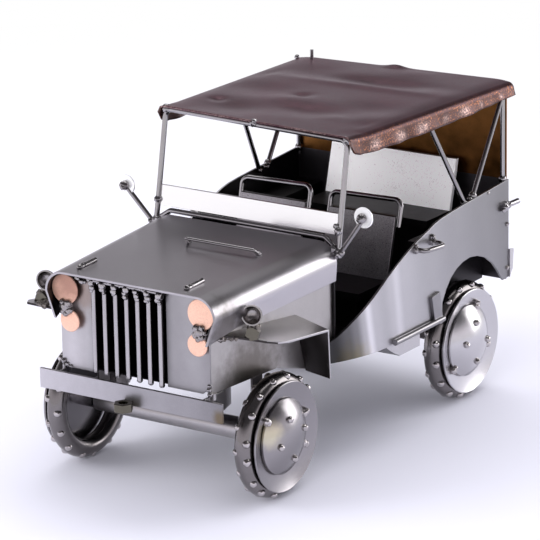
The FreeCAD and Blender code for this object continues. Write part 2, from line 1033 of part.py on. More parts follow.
def make_roof_strut(sign):
    sticks = []
    for foot_s, head_s in (
        (strut_foot_front, strut_head_front),
        (strut_foot_rear, strut_head_rear),
    ):
        foot = Vector(sign * strut_foot_x, at(foot_s), strut_foot_z)
        head_x = min(strut_foot_x, roof_half(head_s) - roof_wall - wire / 2 - strut_gap)
        head = Vector(sign * head_x, at(head_s), under_roof(sign * head_x, head_s))
        sticks.append(rod([foot, head], wire / 2))
    return fuse_all(sticks).cut(sided(make_body_side(), sign)).cut(make_rear_post(sign))


# handles on the body sides
handle_front = 144.5
handle_rear = 159.0
handle_z = 89.6
handle_reach = 6.6
handle_wire = 2.4


def make_grab_handle():
    x = body_half_width + handle_wire / 2
    far = x + handle_reach
    points = [
        Vector(x, at(handle_front), handle_z),
        Vector(far, at(handle_front + handle_wire), handle_z),
        Vector(far, at(handle_rear - handle_wire), handle_z),
        Vector(x, at(handle_rear), handle_z),
    ]
    body = rod(points, handle_wire / 2)
    feet = [
        Part.makeCylinder(weld_ball, handle_wire, point, Vector(1, 0, 0)) for point in points[::3]
    ]
    body = fuse_all([body] + feet)
    return body.cut(make_body_side())


# axe hung low on the left side: a wire shaft with an upright flat head
axe_front = 124.0
axe_rear = 167.5
axe_z = 49.9
axe_wire = 3.0
axe_head_front = 157.0
axe_head_rear = 165.5
axe_head_top = 64.0
axe_head_rake = 2.6
axe_head_thick = 1.6


def make_axe():
    x = body_half_width + axe_wire / 2 - seat_sink
    shaft = rod([Vector(x, at(axe_front), axe_z), Vector(x, at(axe_rear), axe_z)], axe_wire / 2)
    head = prism_x(
        [
            (axe_head_front + axe_head_rake, axe_z),
            (axe_head_front, axe_head_top - sheet),
            (axe_head_rear - sheet, axe_head_top),
            (axe_head_rear + axe_head_rake / 2, axe_z),
        ],
        body_half_width,
        body_half_width + axe_head_thick,
    )
    return fuse_all([shaft, head]).cut(make_body_side())


# steps: small bent sheet boxes under the body sides
step_front = 116.0
step_rear = 150.0
step_low = 40.8
step_slope = 16.0
step_depth = 14.0
step_outer = body_half_width - sheet


def make_side_step():
    inner = step_outer - step_depth
    front_sheet = prism_x(
        [
            (step_front, floor_z),
            (step_front + step_slope, step_low),
            (step_rear, step_low),
            (step_rear, floor_z),
            (step_rear - sheet, floor_z),
            (step_rear - sheet, step_low + sheet),
            (step_front + step_slope + sheet / 3, step_low + sheet),
            (step_front + sheet * 2, floor_z),
        ],
        inner,
        step_outer,
    )
    return front_sheet.cut(make_body_side())


# tail pins on the rear corners of the body sides
pin_z = 90.4
pin_front = 224.0
pin_rear = 237.0
pin_wire = 2.4


def make_tail_pin(sign):
    x = sign * (body_half_width + pin_wire / 2 - seat_sink)
    start = Vector(x, at(pin_front), pin_z)
    end = Vector(x, at(pin_rear), pin_z)
    body = rod([start, end], pin_wire / 2)
    return body.cut(sided(make_body_side(), sign))


# axles: tubes on hanger plates, each with a collar and an end washer for its wheels
front_axle = 38.4
rear_axle = front_axle + wheelbase
axle_radius = 3.3
disc_x = 58.8
disc_wall = 1.0
disc_radius = 25.5
dish_radius = 17.4
dish_depth = 2.0
tube_radius = 3.8
tyre_steps = 32
tube_steps = 10
stud_count = 16
stud_sides = 4
stud_radius = 1.4
stud_tip_radius = 0.8
stud_height = 1.0
stud_sink = 0.2
stud_lean = 2 * pi / tube_steps
tyre_flat = cos(pi / tyre_steps)
stud_reach = stud_height * cos(stud_lean) + stud_tip_radius * sin(stud_lean)
ring_radius = (wheel_radius - stud_reach) / tyre_flat - tube_radius * cos(stud_lean)
hub_inner = 46.6
hub_radius = 4.8
running_fit = 0.06
end_gap = 0.3
collar_length = 1.2
collar_radius = 4.6
hanger_half = 4.0
front_hanger_rise = 6.0


def make_axle(station, hanger_x, hanger_top):
    z = wheel_radius
    end_x = disc_x - dish_depth + end_gap + collar_length
    bar = Part.makeCylinder(
        axle_radius, 2 * end_x, Vector(-end_x, at(station), z), Vector(1, 0, 0)
    )
    parts = [bar]
    for sign in (-1, 1):
        start = sign * (disc_x - dish_depth + end_gap)
        washer = Part.makeCylinder(
            collar_radius, collar_length, Vector(start, at(station), z), Vector(sign, 0, 0)
        )
        inner = sign * (hub_inner - end_gap)
        collar = Part.makeCylinder(
            collar_radius, collar_length, Vector(inner, at(station), z), Vector(-sign, 0, 0)
        )
        x0, x1 = sorted((sign * hanger_x, sign * (hanger_x - sheet)))
        hanger = box(x0, x1, station - hanger_half, station + hanger_half, z, hanger_top)
        parts += [washer, collar, hanger]
    body = fuse_all(parts)
    return body.cut(make_engine_side()).cut(mirrored(make_engine_side()))


def make_front_axle():
    bay_inner = bay_half(front_axle - hanger_half)
    return make_axle(front_axle, bay_inner, grille_low + front_hanger_rise)


# wheels: a ring tyre with two rows of lugs and a dished disc with a domed cap
dome_rise = 6.0
dish_slope = dish_depth / (disc_radius - dish_radius)
tyre_touch = 0.02
tyre_x = (
    disc_x
    - disc_wall
    - dish_slope * (disc_radius - ring_radius)
    - tube_radius / cos(pi / tube_steps)
    + tyre_touch
)
cap_rivet = 1.7
cap_rivet_ring = 9.8
cap_rivet_count = 4


def solid_from(faces):
    return Part.Solid(Part.Shell(faces))


def flat_face(points):
    return Part.Face(Part.makePolygon(points + points[:1]))


def make_stud(foot, out, along):
    # a small tapered lug standing on the tyre at foot, pointing out
    across = out.cross(along)

    def ring(radius, height):
        points = []
        for side in range(stud_sides):
            turn = 2 * pi * side / stud_sides
            points.append(
                foot + out * height + along * (radius * cos(turn)) + across * (radius * sin(turn))
            )
        return points

    low = ring(stud_radius, -stud_sink)
    high = ring(stud_tip_radius, stud_height)
    sides = [
        flat_face([low[i - 1], low[i], high[i], high[i - 1]]) for i in range(stud_sides)
    ]
    return solid_from(sides + [flat_face(low), flat_face(high)])


def make_tyre(station):
    centre = Vector(tyre_x, at(station), wheel_radius)

    half = 1 / 2

    def spot(step, tube_step):
        turn = 2 * pi * (step + half) / tyre_steps
        lean = 2 * pi * (tube_step + half) / tube_steps
        tube = tube_radius / cos(pi / tube_steps)
        out = ring_radius + tube * cos(lean)
        return centre + Vector(tube * sin(lean), out * sin(turn), -out * cos(turn))

    faces = []
    for step in range(tyre_steps):
        for tube_step in range(tube_steps):
            faces.append(
                flat_face(
                    [
                        spot(step, tube_step),
                        spot(step, tube_step + 1),
                        spot(step + 1, tube_step + 1),
                        spot(step + 1, tube_step),
                    ]
                )
            )
    ring = solid_from(faces)
    studs = []
    lean = stud_lean
    for number in range(2 * stud_count):
        row = 1 if number % 2 else -1
        turn = pi * number / stud_count
        out = Vector(row * sin(lean), cos(lean) * sin(turn), -cos(lean) * cos(turn))
        reach = (ring_radius + tube_radius * cos(lean)) * tyre_flat
        foot = centre + Vector(
            row * tube_radius * sin(lean), reach * sin(turn), -reach * cos(turn)
        )
        along = Vector(0, cos(turn), sin(turn))
        studs.append(make_stud(foot, out, along))
    return ring.multiFuse(studs)


def make_wheel_disc(station):
    # turned section about the axle, then the cap balls
    def spot(x, radius):
        return Vector(x, at(station) + radius, wheel_radius)

    rim = disc_x
    low = rim - dish_depth
    bore = axle_radius + running_fit
    cap_edge = dish_radius
    apex = low + dome_rise
    cap_in = apex - disc_wall
    chord = cap_edge
    outer_sphere = (chord * chord + dome_rise * dome_rise) / (2 * dome_rise)

    disc_points = [
        spot(hub_inner, bore),
        spot(hub_inner, hub_radius),
        spot(low - disc_wall, hub_radius),
        spot(low - disc_wall, cap_edge),
        spot(rim - disc_wall, disc_radius),
        spot(rim, disc_radius),
        spot(low, cap_edge - disc_wall),
        spot(low, bore),
    ]
    face = Part.Face(Part.makePolygon(disc_points + disc_points[:1]))
    axis_start = Vector(0, at(station), wheel_radius)
    body = face.revolve(axis_start, Vector(1, 0, 0), 360)
    middle = Vector(apex - outer_sphere, at(station), wheel_radius)
    shell = Part.makeSphere(outer_sphere, middle).cut(
        Part.makeSphere(outer_sphere - disc_wall, middle)
    )
    slab = Part.makeCylinder(
        cap_edge + disc_wall, dome_rise + disc_wall, Vector(low, at(station), wheel_radius), Vector(1, 0, 0)
    )
    cap = shell.common(slab)
    out = Vector(1, 0, 0)
    rivets = []
    face_x = middle.x + sqrt(outer_sphere**2 - cap_rivet_ring**2)
    for number in range(cap_rivet_count):
        turn = 2 * pi * number / cap_rivet_count
        foot = Vector(
            face_x - cap_rivet / 3,
            at(station) + cap_rivet_ring * sin(turn),
            wheel_radius + cap_rivet_ring * cos(turn),
        )
        rivets.append(knob(foot, out, cap_rivet, cap_rivet))
    return body.fuse(cap).multiFuse(rivets)


def save(name, shape):
    shape.exportStep("parts/" + name + ".step")


def save_pair(name, shape):
    save(name + "_left", shape)
    save(name + "_right", mirrored(shape))


def save_sides(name, make):
    save(name + "_left", make(1))
    save(name + "_right", make(-1))


def save_turned(name, shape, station):
    save(name + "_left", shape)
    save(name + "_right", turned(shape, station))


save("bumper", make_bumper())
save("tow_nut", make_tow_nut())
save_sides("frame_bracket", make_frame_bracket)
save("hood", make_hood())
save("hood_rest_bar", make_hood_rest_bar())
save("hood_catches", make_hood_catches())
save("grille_panel", make_grille_panel())
save("grille_bars", make_grille_bars())
save_pair("headlamp", make_headlamp())
save_pair("engine_side", make_engine_side())
save("bay_floor", make_bay_floor())
save("fender_left", make_fender(fender_left_plan, 0))
save("fender_right", mirrored(make_fender(fender_right_plan, fender_right_lift)))
save(
    "side_lamp_left",
    make_side_lamp(1, lamp_nut_left_x, lamp_nut_left_station, 0, fender_left_plan),
)
save(
    "side_lamp_right",
    make_side_lamp(
        -1, lamp_nut_right_x, lamp_nut_right_station, fender_right_lift, fender_right_plan
    ),
)
save("firewall", make_firewall())
save("floor", make_floor())
save_pair("body_side", make_body_side())
save("rear_panel", make_rear_panel())
save_pair("wheel_house", make_wheel_house())
save("screen_frame", make_screen_frame())
save("screen_plate", make_screen_plate())
save_sides("mirror", make_mirror)
save("steering_wheel", make_steering_wheel())
save_pair("seat", make_seat())
save("rear_bench", make_rear_bench())
save("roof_sheet", make_roof_sheet())
save_sides("rear_post", make_rear_post)
save("rear_curtain", make_rear_curtain())
save_sides("roof_strut", make_roof_strut)
save_turned("grab_handle", make_grab_handle(), (handle_front + handle_rear) / 2)
save("axe", make_axe())
save_pair("side_step", make_side_step())
save_sides("tail_pin", make_tail_pin)
save("axle_front", make_front_axle())
save("axle_rear", make_axle(rear_axle, house_inner, floor_z))
for end, station in (("front", front_axle), ("rear", rear_axle)):
    save_turned("tyre_" + end, make_tyre(station), station)
    save_turned("wheel_disc_" + end, make_wheel_disc(station), station)
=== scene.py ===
import math
import random

import bmesh
import bpy
from mathutils import Matrix, Vector


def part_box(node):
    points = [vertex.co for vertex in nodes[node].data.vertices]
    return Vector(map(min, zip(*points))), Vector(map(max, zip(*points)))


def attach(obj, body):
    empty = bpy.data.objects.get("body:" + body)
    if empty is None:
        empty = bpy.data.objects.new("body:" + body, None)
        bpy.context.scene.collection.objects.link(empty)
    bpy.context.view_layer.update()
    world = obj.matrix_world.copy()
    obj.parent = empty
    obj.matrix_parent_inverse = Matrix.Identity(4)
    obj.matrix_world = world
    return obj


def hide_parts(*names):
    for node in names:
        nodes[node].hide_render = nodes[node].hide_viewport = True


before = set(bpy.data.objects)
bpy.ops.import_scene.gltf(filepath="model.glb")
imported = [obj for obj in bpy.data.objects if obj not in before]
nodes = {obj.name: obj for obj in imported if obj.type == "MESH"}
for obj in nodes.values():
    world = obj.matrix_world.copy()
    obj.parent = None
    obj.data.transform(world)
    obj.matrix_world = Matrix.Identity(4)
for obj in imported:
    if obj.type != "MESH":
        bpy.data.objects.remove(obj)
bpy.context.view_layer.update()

scene = bpy.context.scene
scene.view_settings.view_transform = "Standard"

# Camera: at the car's front left, about 1.6 m away and 17 degrees above it, with a long
# lens, as the photograph was taken.
camera_place = Vector((0.92704, -1.37439, 0.58509))
camera_forward = Vector((-0.53491, 0.79266, -0.29250)).normalized()
camera_roll = math.radians(-1.0)
lens_pixels = 3699.94
picture_width = 540

camera_data = bpy.data.cameras.new("camera")
camera_data.sensor_width = 36.0
camera_data.lens = lens_pixels / picture_width * camera_data.sensor_width
camera_data.clip_start = 0.05
camera_data.clip_end = 30.0
camera = bpy.data.objects.new("camera", camera_data)
scene.collection.objects.link(camera)
camera_turn = camera_forward.to_track_quat("-Z", "Y").to_matrix().to_4x4()
camera.matrix_world = (
    Matrix.Translation(camera_place) @ camera_turn @ Matrix.Rotation(camera_roll, 4, "Z")
)
scene.camera = camera

# Floor: one sheet of white card. It takes the car's soft lilac shadow and runs out to plain
# white behind it.
floor_half = 6.0
shadow_reach = 0.24
plain_white_from = 0.85


def add_node(tree, kind, inputs=(), **settings):
    """A node with its settings made and its inputs, by name or number, set or linked."""
    node = tree.nodes.new(kind)
    for label, value in settings.items():
        setattr(node, label, value)
    for label, value in dict(inputs).items():
        if isinstance(value, bpy.types.NodeSocket):
            tree.links.new(value, node.inputs[label])
        else:
            node.inputs[label].default_value = value
    return node


def vector_maths(tree, operation, *values):
    """A Vector Math node on vectors or sockets; gives back its one output in use."""
    node = add_node(tree, "ShaderNodeVectorMath", dict(enumerate(values)), operation=operation)
    return next(socket for socket in node.outputs if socket.enabled)


card = bpy.data.materials.new("white_card")
card.use_nodes = True
card_tree = card.node_tree
card_shader = card_tree.nodes["Principled BSDF"]
card_shader.inputs["Base Color"].default_value = (0.80, 0.79, 0.87, 1)
card_shader.inputs["Roughness"].default_value = 0.9
card_shader.inputs["Specular IOR Level"].default_value = 0.1
card_spot = add_node(card_tree, "ShaderNodeTexCoord").outputs["Object"]
card_away = vector_maths(card_tree, "LENGTH", card_spot)
card_fade = add_node(
    card_tree, "ShaderNodeMapRange",
    {"From Min": shadow_reach, "From Max": plain_white_from, "Value": card_away},
    interpolation_type="SMOOTHSTEP",
)
card_white = add_node(card_tree, "ShaderNodeEmission", {"Color": (1, 1, 1, 1), "Strength": 1.0})
card_mix = add_node(
    card_tree, "ShaderNodeMixShader",
    {"Fac": card_fade.outputs["Result"], 1: card_shader.outputs["BSDF"], 2: card_white.outputs[0]},
)
card_tree.links.new(card_mix.outputs[0], card_tree.nodes["Material Output"].inputs["Surface"])
floor_mesh = bpy.data.meshes.new("white_card")
floor_corners = [(x * floor_half, y * floor_half, 0) for x, y in ((-1, -1), (1, -1), (1, 1), (-1, 1))]
floor_mesh.from_pydata(floor_corners, [], [(0, 1, 2, 3)])
floor_mesh.materials.append(card)
floor = bpy.data.objects.new("white_card", floor_mesh)
scene.collection.objects.link(floor)

# Studio light: two soft boxes high behind the car, one low at its left rear and two in front
# that its steel doesn't mirror. The pale room round them is plain white to the camera, and
# mirrored dimmer overhead and on the far side.


def maths(tree, operation, *values):
    """A Math node on numbers or sockets; gives back its output."""
    return add_node(tree, "ShaderNodeMath", dict(enumerate(values)), operation=operation).outputs[0]


world = bpy.data.worlds.new("studio")
scene.world = world
world.use_nodes = True
room = world.node_tree
room.nodes.clear()
direction = add_node(room, "ShaderNodeTexCoord").outputs["Generated"]
split = add_node(room, "ShaderNodeSeparateXYZ", {"Vector": direction})
overhead = add_node(
    room, "ShaderNodeMapRange",
    {"From Min": 0.10, "From Max": 0.46, "To Min": 1.1, "To Max": 0.10, "Value": split.outputs["Z"]},
    interpolation_type="SMOOTHSTEP",
)
far_side = vector_maths(room, "DOT_PRODUCT", direction, (-0.56, 0.83, 0))
far_dim = add_node(
    room, "ShaderNodeMapRange",
    {"From Min": 0.6, "To Min": 1.0, "To Max": 0.6, "Value": far_side},
)
mirrored = maths(room, "MULTIPLY", overhead.outputs["Result"], far_dim.outputs["Result"])
room_light, room_mirrored, room_white = [
    add_node(room, "ShaderNodeBackground", {"Color": (*colour, 1), "Strength": strength})
    for colour, strength in (
        ((0.92, 0.93, 1.0), 0.85), ((1.0, 0.955, 1.03), mirrored), ((1, 1, 1), 1.0),
    )
]
ray = add_node(room, "ShaderNodeLightPath").outputs
mirror_mix = add_node(
    room, "ShaderNodeMixShader",
    {"Fac": ray["Is Glossy Ray"], 1: room_light.outputs[0], 2: room_mirrored.outputs[0]},
)
camera_mix = add_node(
    room, "ShaderNodeMixShader",
    {"Fac": ray["Is Camera Ray"], 1: mirror_mix.outputs[0], 2: room_white.outputs[0]},
)
add_node(room, "ShaderNodeOutputWorld", {"Surface": camera_mix.outputs[0]})

lamp_aim = Vector((0, 0, 0.07))
for name, spot, width, height, power in (
    ("soft_box_rear", (0.1, 0.55, 1.6), 1.3, 0.9, 8.0),
    ("soft_box_rear_right", (-0.75, 0.6, 1.35), 0.9, 0.9, 4.0),
    ("soft_box_left", (0.95, 1.35, 0.43), 0.9, 0.8, 8.0),
    ("soft_box_front_right", (-0.95, -0.85, 0.75), 0.8, 0.8, 8.0),
    ("soft_box_front", (0.4, -1.7, 0.52), 0.9, 0.7, 11.0),
):
    lamp = bpy.data.lights.new(name, "AREA")
    lamp.shape = "RECTANGLE"
    lamp.size = width
    lamp.size_y = height
    lamp.energy = power
    lamp_object = bpy.data.objects.new(name, lamp)
    lamp_turn = (lamp_aim - Vector(spot)).to_track_quat("-Z", "Y").to_matrix().to_4x4()
    lamp_object.matrix_world = Matrix.Translation(Vector(spot)) @ lamp_turn
    lamp_object.visible_glossy = "front" not in name
    scene.collection.objects.link(lamp_object)

# Bumper: a flat bar of sheet steel across the nose, sawn square at its ends. Its left end
# was heated when the bracket behind it was welded on.
nose = -0.1145


def place(x, station, z):
    """A point given in millimetres, with its station counted back from the bumper's face."""
    return Vector((x / 1000, nose + station / 1000, z / 1000))


def open_sockets(tree, way, sockets):
    """Give a node group its named inputs or outputs, each of a kind and with a first value."""
    for label, kind, start in sockets:
        socket = tree.interface.new_socket(label, in_out=way, socket_type="NodeSocket" + kind)
        if start is not None:
            socket.default_value = start


def scaled(tree, vector, share):
    """A colour or vector made larger or smaller by a share; gives back its output."""
    inputs = {0: vector, "Scale": share}
    return add_node(tree, "ShaderNodeVectorMath", inputs, operation="SCALE").outputs["Vector"]


def laid_over(tree, share, under, over):
    """One colour laid over another by a share from 0 to 1; gives back its output."""
    inputs = {"Factor": share, "A": under, "B": over}
    return add_node(tree, "ShaderNodeMix", inputs, data_type="RGBA").outputs["Result"]


def cloud(tree, vector, scale, detail=3.0, rough=0.55):
    """A Noise node about 0.5 on the given coordinates; gives back its factor."""
    inputs = {"Scale": scale, "Detail": detail, "Roughness": rough, "Vector": vector}
    return add_node(tree, "ShaderNodeTexNoise", inputs).outputs["Fac"]


worked_steel = bpy.data.node_groups.new("worked_steel", "ShaderNodeTree")
open_sockets(worked_steel, "INPUT", (
    ("Colour", "Color", (0.5, 0.5, 0.5, 1)),
    ("Roughness", "Float", 0.3),
    ("Cloud", "Float", 0.2),
    ("Grain", "Float", 0.2),
    ("Wave", "Float", 0.2),
    ("Heat And Painted Light Place", "Vector", (0, 0, -1)),
    ("Heat And Painted Light Reach", "Float", 0.01),
    ("Heat And Painted Light Colour", "Color", (0.4, 0.3, 0.15, 1)),
))
open_sockets(worked_steel, "OUTPUT", (
    ("Colour", "Color", None), ("Roughness", "Float", None), ("Height", "Float", None),
))
asked = worked_steel.nodes.new("NodeGroupInput").outputs
steel_spot = add_node(worked_steel, "ShaderNodeTexCoord").outputs["Object"]
wide, patch, grit = [
    maths(worked_steel, "SUBTRACT", cloud(worked_steel, steel_spot, scale, detail), 0.5)
    for scale, detail in ((26, 3), (210, 3), (2300, 2))
]
uneven = maths(worked_steel, "MULTIPLY_ADD", patch, 0.4, wide)
cloudy = maths(worked_steel, "MULTIPLY", uneven, asked["Cloud"])
grainy = maths(worked_steel, "MULTIPLY", grit, asked["Grain"])
mottled = maths(worked_steel, "ADD", cloudy, grainy)
shaded = scaled(worked_steel, asked["Colour"], maths(worked_steel, "ADD", mottled, 1.0))
# A soft spot of another colour about one place: a weld's heat mark on some steels, painted shade or a
# painted glint on others.
heat_and_light_away = vector_maths(worked_steel, "DISTANCE", steel_spot, asked["Heat And Painted Light Place"])
heat_and_light_even = maths(worked_steel, "DIVIDE", heat_and_light_away, asked["Heat And Painted Light Reach"])
heat_and_light = add_node(
    worked_steel, "ShaderNodeMapRange",
    {
        "From Min": 1.0, "From Max": 0.2, "To Max": 0.75,
        "Value": maths(worked_steel, "MULTIPLY_ADD", patch, 0.7, heat_and_light_even),
    },
    interpolation_type="SMOOTHSTEP",
)
waves = maths(worked_steel, "MULTIPLY", wide, asked["Wave"])
add_node(worked_steel, "NodeGroupOutput", {
    "Colour": laid_over(worked_steel, heat_and_light.outputs["Result"], shaded, asked["Heat And Painted Light Colour"]),
    "Roughness": maths(worked_steel, "MULTIPLY_ADD", mottled, 0.3, asked["Roughness"]),
    "Height": maths(worked_steel, "MULTIPLY_ADD", grainy, 0.008, waves),
})


def steel(
    name, colour, roughness, cloudiness=0.2, grain=0.2, wave=0.1,
    heat_and_painted_light_at=None, heat_and_painted_light_reach=0.012, heat_and_painted_light_colour=(0.36, 0.26, 0.12),
):
    """A steel with its own colour and finish, and one soft spot of another colour, which marks a
    weld's heat on some steels, paints shade on some and paints a glint on one.
    """
    material = bpy.data.materials.new(name)
    material.use_nodes = True
    tree = material.node_tree
    finish = {
        "Colour": (*colour, 1), "Roughness": roughness, "Cloud": cloudiness, "Grain": grain,
        "Wave": wave,
    }
    if heat_and_painted_light_at:
        finish["Heat And Painted Light Place"] = place(*heat_and_painted_light_at)
        finish["Heat And Painted Light Reach"] = heat_and_painted_light_reach
        finish["Heat And Painted Light Colour"] = (*heat_and_painted_light_colour, 1)
    worked = add_node(tree, "ShaderNodeGroup", finish, node_tree=worked_steel).outputs
    bump = add_node(tree, "ShaderNodeBump", {"Distance": 0.001, "Height": worked["Height"]})
    shader = tree.nodes["Principled BSDF"]
    shader.inputs["Metallic"].default_value = 1.0
    tree.links.new(worked["Colour"], shader.inputs["Base Color"])
    tree.links.new(worked["Roughness"], shader.inputs["Roughness"])
    tree.links.new(bump.outputs["Normal"], shader.inputs["Normal"])
    return material


def recolour(material, change):
    """Put a change, a function of tree and colour, on a material's own base colour."""
    tree = material.node_tree
    base = tree.nodes["Principled BSDF"].inputs["Base Color"]
    tree.links.new(change(tree, base.links[0].from_socket), base)
    return material


def paint_light_bands(material, bands, axis="Y", lean=0.0):
    """Paint reflection and shade onto a steel in soft bands, given as places (mm) and shares, along
    one axis.
    """
    first, last = bands[0][0], bands[-1][0]
    start = nose if axis == "Y" else 0

    def change(tree, colour):
        """The colour times the grey of its band."""
        here = add_node(tree, "ShaderNodeTexCoord").outputs["Object"]
        where = add_node(tree, "ShaderNodeSeparateXYZ", {"Vector": here}).outputs
        share = add_node(tree, "ShaderNodeMapRange", {
            "From Min": start + first / 1000, "From Max": start + last / 1000,
            "Value": maths(tree, "MULTIPLY_ADD", where["Z"], lean, where[axis]),
        })
        ramp = add_node(tree, "ShaderNodeValToRGB", {"Fac": share.outputs["Result"]})
        ramp.color_ramp.interpolation = "EASE"
        stops = ramp.color_ramp.elements
        while len(stops) < len(bands):
            stops.new(0.5)
        for stop, (spot, grey) in zip(stops, bands):
            stop.position = (spot - first) / (last - first)
            stop.color = (grey, grey, grey, 1)
        return vector_maths(tree, "MULTIPLY", colour, ramp.outputs["Color"])

    return recolour(material, change)


def join_in(piece, replaced, body="car"):
    """Put a finished piece on its body, in place of the named nodes."""
    scene.collection.objects.link(piece)
    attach(piece, body)
    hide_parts(*replaced)


def rub_edges(piece, width):
    """Round a sheet's cut edges a little, so that they catch the light."""
    rounding = piece.modifiers.new("rubbed_edge", "BEVEL")
    rounding.width = width
    rounding.segments = 2
    rounding.limit_method = "ANGLE"
    rounding.angle_limit = math.radians(40)
    rounding.harden_normals = True
    return rounding


def cut_sheet(node, material, edge=0.00018):
    """The node's own shape with its cut edges rubbed round."""
    mesh = nodes[node].data.copy()
    mesh.name = node + "_sheet"
    work = bmesh.new()
    work.from_mesh(mesh)
    bmesh.ops.remove_doubles(work, verts=work.verts, dist=0.000005)
    bmesh.ops.dissolve_limit(
        work, angle_limit=math.radians(0.4), verts=work.verts, edges=work.edges
    )
    bmesh.ops.recalc_face_normals(work, faces=work.faces)
    work.to_mesh(mesh)
    work.free()
    if "custom_normal" in mesh.attributes:
        mesh.attributes.remove(mesh.attributes["custom_normal"])
    mesh.materials.clear()
    mesh.materials.append(material)
    mesh.shade_smooth()
    mesh.set_sharp_from_angle(angle=math.radians(25))
    piece = bpy.data.objects.new(mesh.name, mesh)
    rub_edges(piece, edge).use_clamp_overlap = False
    join_in(piece, [node])
    return piece


bumper_steel = steel("bumper_steel", (0.58, 0.56, 0.585), 0.32, 0.3, 0.2, 0.1, (49, 0, 47), 0.006)
# Painted reflection: the bumper is coloured lighter at its right end and darker towards its left.
bumper_painted_reflection = ((-52, 0.98), (-20, 0.8), (5, 0.62), (30, 0.55), (52, 0.42))
cut_sheet("bumper", paint_light_bands(bumper_steel, bumper_painted_reflection, "X"))

# Tow nut: a stock hexagon nut, welded upright under the middle of the bumper. Its zinc has
# burnt a little yellow.
cut_sheet("tow_nut", steel("nut_steel", (0.13, 0.12, 0.095), 0.2, 0.9), 0.0003)

# Brackets: two strips of sheet that run back from the bumper along the engine bay. They are satin
# outside and painted dark as shade on the side of the bay.


def paint_shade_by_facing(material, dark, way, least=0.3, about=None):
    """Paint shade on a steel: darken its faces that look the given way, or towards the given place."""

    def change(tree, colour):
        """The colour, or the dark one on a face that looks that way."""
        inward = way
        if about:
            here = add_node(tree, "ShaderNodeTexCoord").outputs["Object"]
            inward = vector_maths(tree, "SUBTRACT", place(*about), here)
            inward = vector_maths(tree, "NORMALIZE", vector_maths(tree, "MULTIPLY", inward, way))
        facing = add_node(tree, "ShaderNodeNewGeometry").outputs["True Normal"]
        along = vector_maths(tree, "DOT_PRODUCT", facing, inward)
        return laid_over(tree, maths(tree, "GREATER_THAN", along, least), colour, (*dark, 1))

    return recolour(material, change)


for side, sign in (("left", 1), ("right", -1)):
    bracket_steel = steel("bracket_steel_" + side, (0.40, 0.385, 0.39), 0.34)
    paint_shade_by_facing(bracket_steel, (0.04, 0.037, 0.04), (-sign, 0, 0))
    cut_sheet("frame_bracket_" + side, bracket_steel)

# Grille panel: one flat plate with an open window. The welding of the lamps has tinted its
# upper corners.
grille_steel = steel(
    "grille_steel", (0.56, 0.54, 0.56), 0.38, 0.4, 0.15, 0.2, (-29, 5, 92), 0.014,
    (0.38, 0.29, 0.25),
)
# Painted reflection and shade: bands of lighter and darker grey across the panel, darkest about the
# window.
grille_painted_reflection_and_shade = (
    (-42, 0.9), (-34, 1.0), (-27, 0.85), (-20, 0.6), (16, 0.35), (22, 0.6), (32, 0.66), (42, 0.55),
)
cut_sheet("grille_panel", paint_light_bands(grille_steel, grille_painted_reflection_and_shade, "X"))

# Grille bars: seven lengths of wire hung before the window, each with a blob of weld for its
# head. A row of beads ties them to the panel under the hood.
bar_count, bar_gap, bar_middle, bar_head, bar_station = 7, 6.05, -2.8, 98.4, 3.9

wire_tree = bpy.data.node_groups.new("welded_wire", "GeometryNodeTree")
open_sockets(wire_tree, "INPUT", (
    ("Geometry", "Geometry", None),
    ("Wire Radius", "Float", 0.0013),
    ("Bend Radius", "Float", 0.003),
    ("Sides", "Int", 20),
    ("Unevenness", "Float", 0.0004),
    ("Material", "Material", None),
))
open_sockets(wire_tree, "OUTPUT", (("Geometry", "Geometry", None),))
asked = wire_tree.nodes.new("NodeGroupInput").outputs
wire_line = add_node(wire_tree, "GeometryNodeMeshToCurve", {"Mesh": asked["Geometry"]})
wire_bend = add_node(
    wire_tree, "GeometryNodeFilletCurve",
    {
        "Curve": wire_line.outputs["Curve"], "Radius": asked["Bend Radius"],
        "Limit Radius": True, "Count": 6,
    },
    mode="POLY",
)
wire_round = add_node(
    wire_tree, "GeometryNodeCurvePrimitiveCircle",
    {"Resolution": asked["Sides"], "Radius": asked["Wire Radius"]},
)
wire_solid = add_node(wire_tree, "GeometryNodeCurveToMesh", {
    "Curve": wire_bend.outputs["Curve"], "Profile Curve": wire_round.outputs["Curve"],
    "Fill Caps": True,
})
ball_size = add_node(wire_tree, "GeometryNodeInputNamedAttribute", {"Name": "ball"}, data_type="FLOAT")
ball_size = ball_size.outputs["Attribute"]
is_ball = add_node(wire_tree, "FunctionNodeCompare", {"A": ball_size}, operation="GREATER_THAN")
ball_points = add_node(
    wire_tree, "GeometryNodeMeshToPoints",
    {"Mesh": asked["Geometry"], "Selection": is_ball.outputs["Result"]},
)
ball_shape = add_node(wire_tree, "GeometryNodeMeshIcoSphere", {"Radius": 1.0, "Subdivisions": 4})
ball_set = add_node(wire_tree, "GeometryNodeInstanceOnPoints", {
    "Points": ball_points.outputs["Points"], "Instance": ball_shape.outputs["Mesh"],
    "Scale": ball_size,
})
ball_real = add_node(wire_tree, "GeometryNodeRealizeInstances", {"Geometry": ball_set.outputs[0]})
lump = add_node(wire_tree, "ShaderNodeTexNoise", {"Scale": 700.0, "Detail": 1.0}).outputs["Fac"]
lump = maths(wire_tree, "MULTIPLY", maths(wire_tree, "SUBTRACT", lump, 0.5), asked["Unevenness"])
lump_way = add_node(wire_tree, "GeometryNodeInputNormal").outputs["Normal"]
ball_lumpy = add_node(
    wire_tree, "GeometryNodeSetPosition",
    {"Geometry": ball_real.outputs[0], "Offset": scaled(wire_tree, lump_way, lump)},
)
wire_join = add_node(wire_tree, "GeometryNodeJoinGeometry", {"Geometry": wire_solid.outputs["Mesh"]})
wire_tree.links.new(ball_lumpy.outputs["Geometry"], wire_join.inputs["Geometry"])
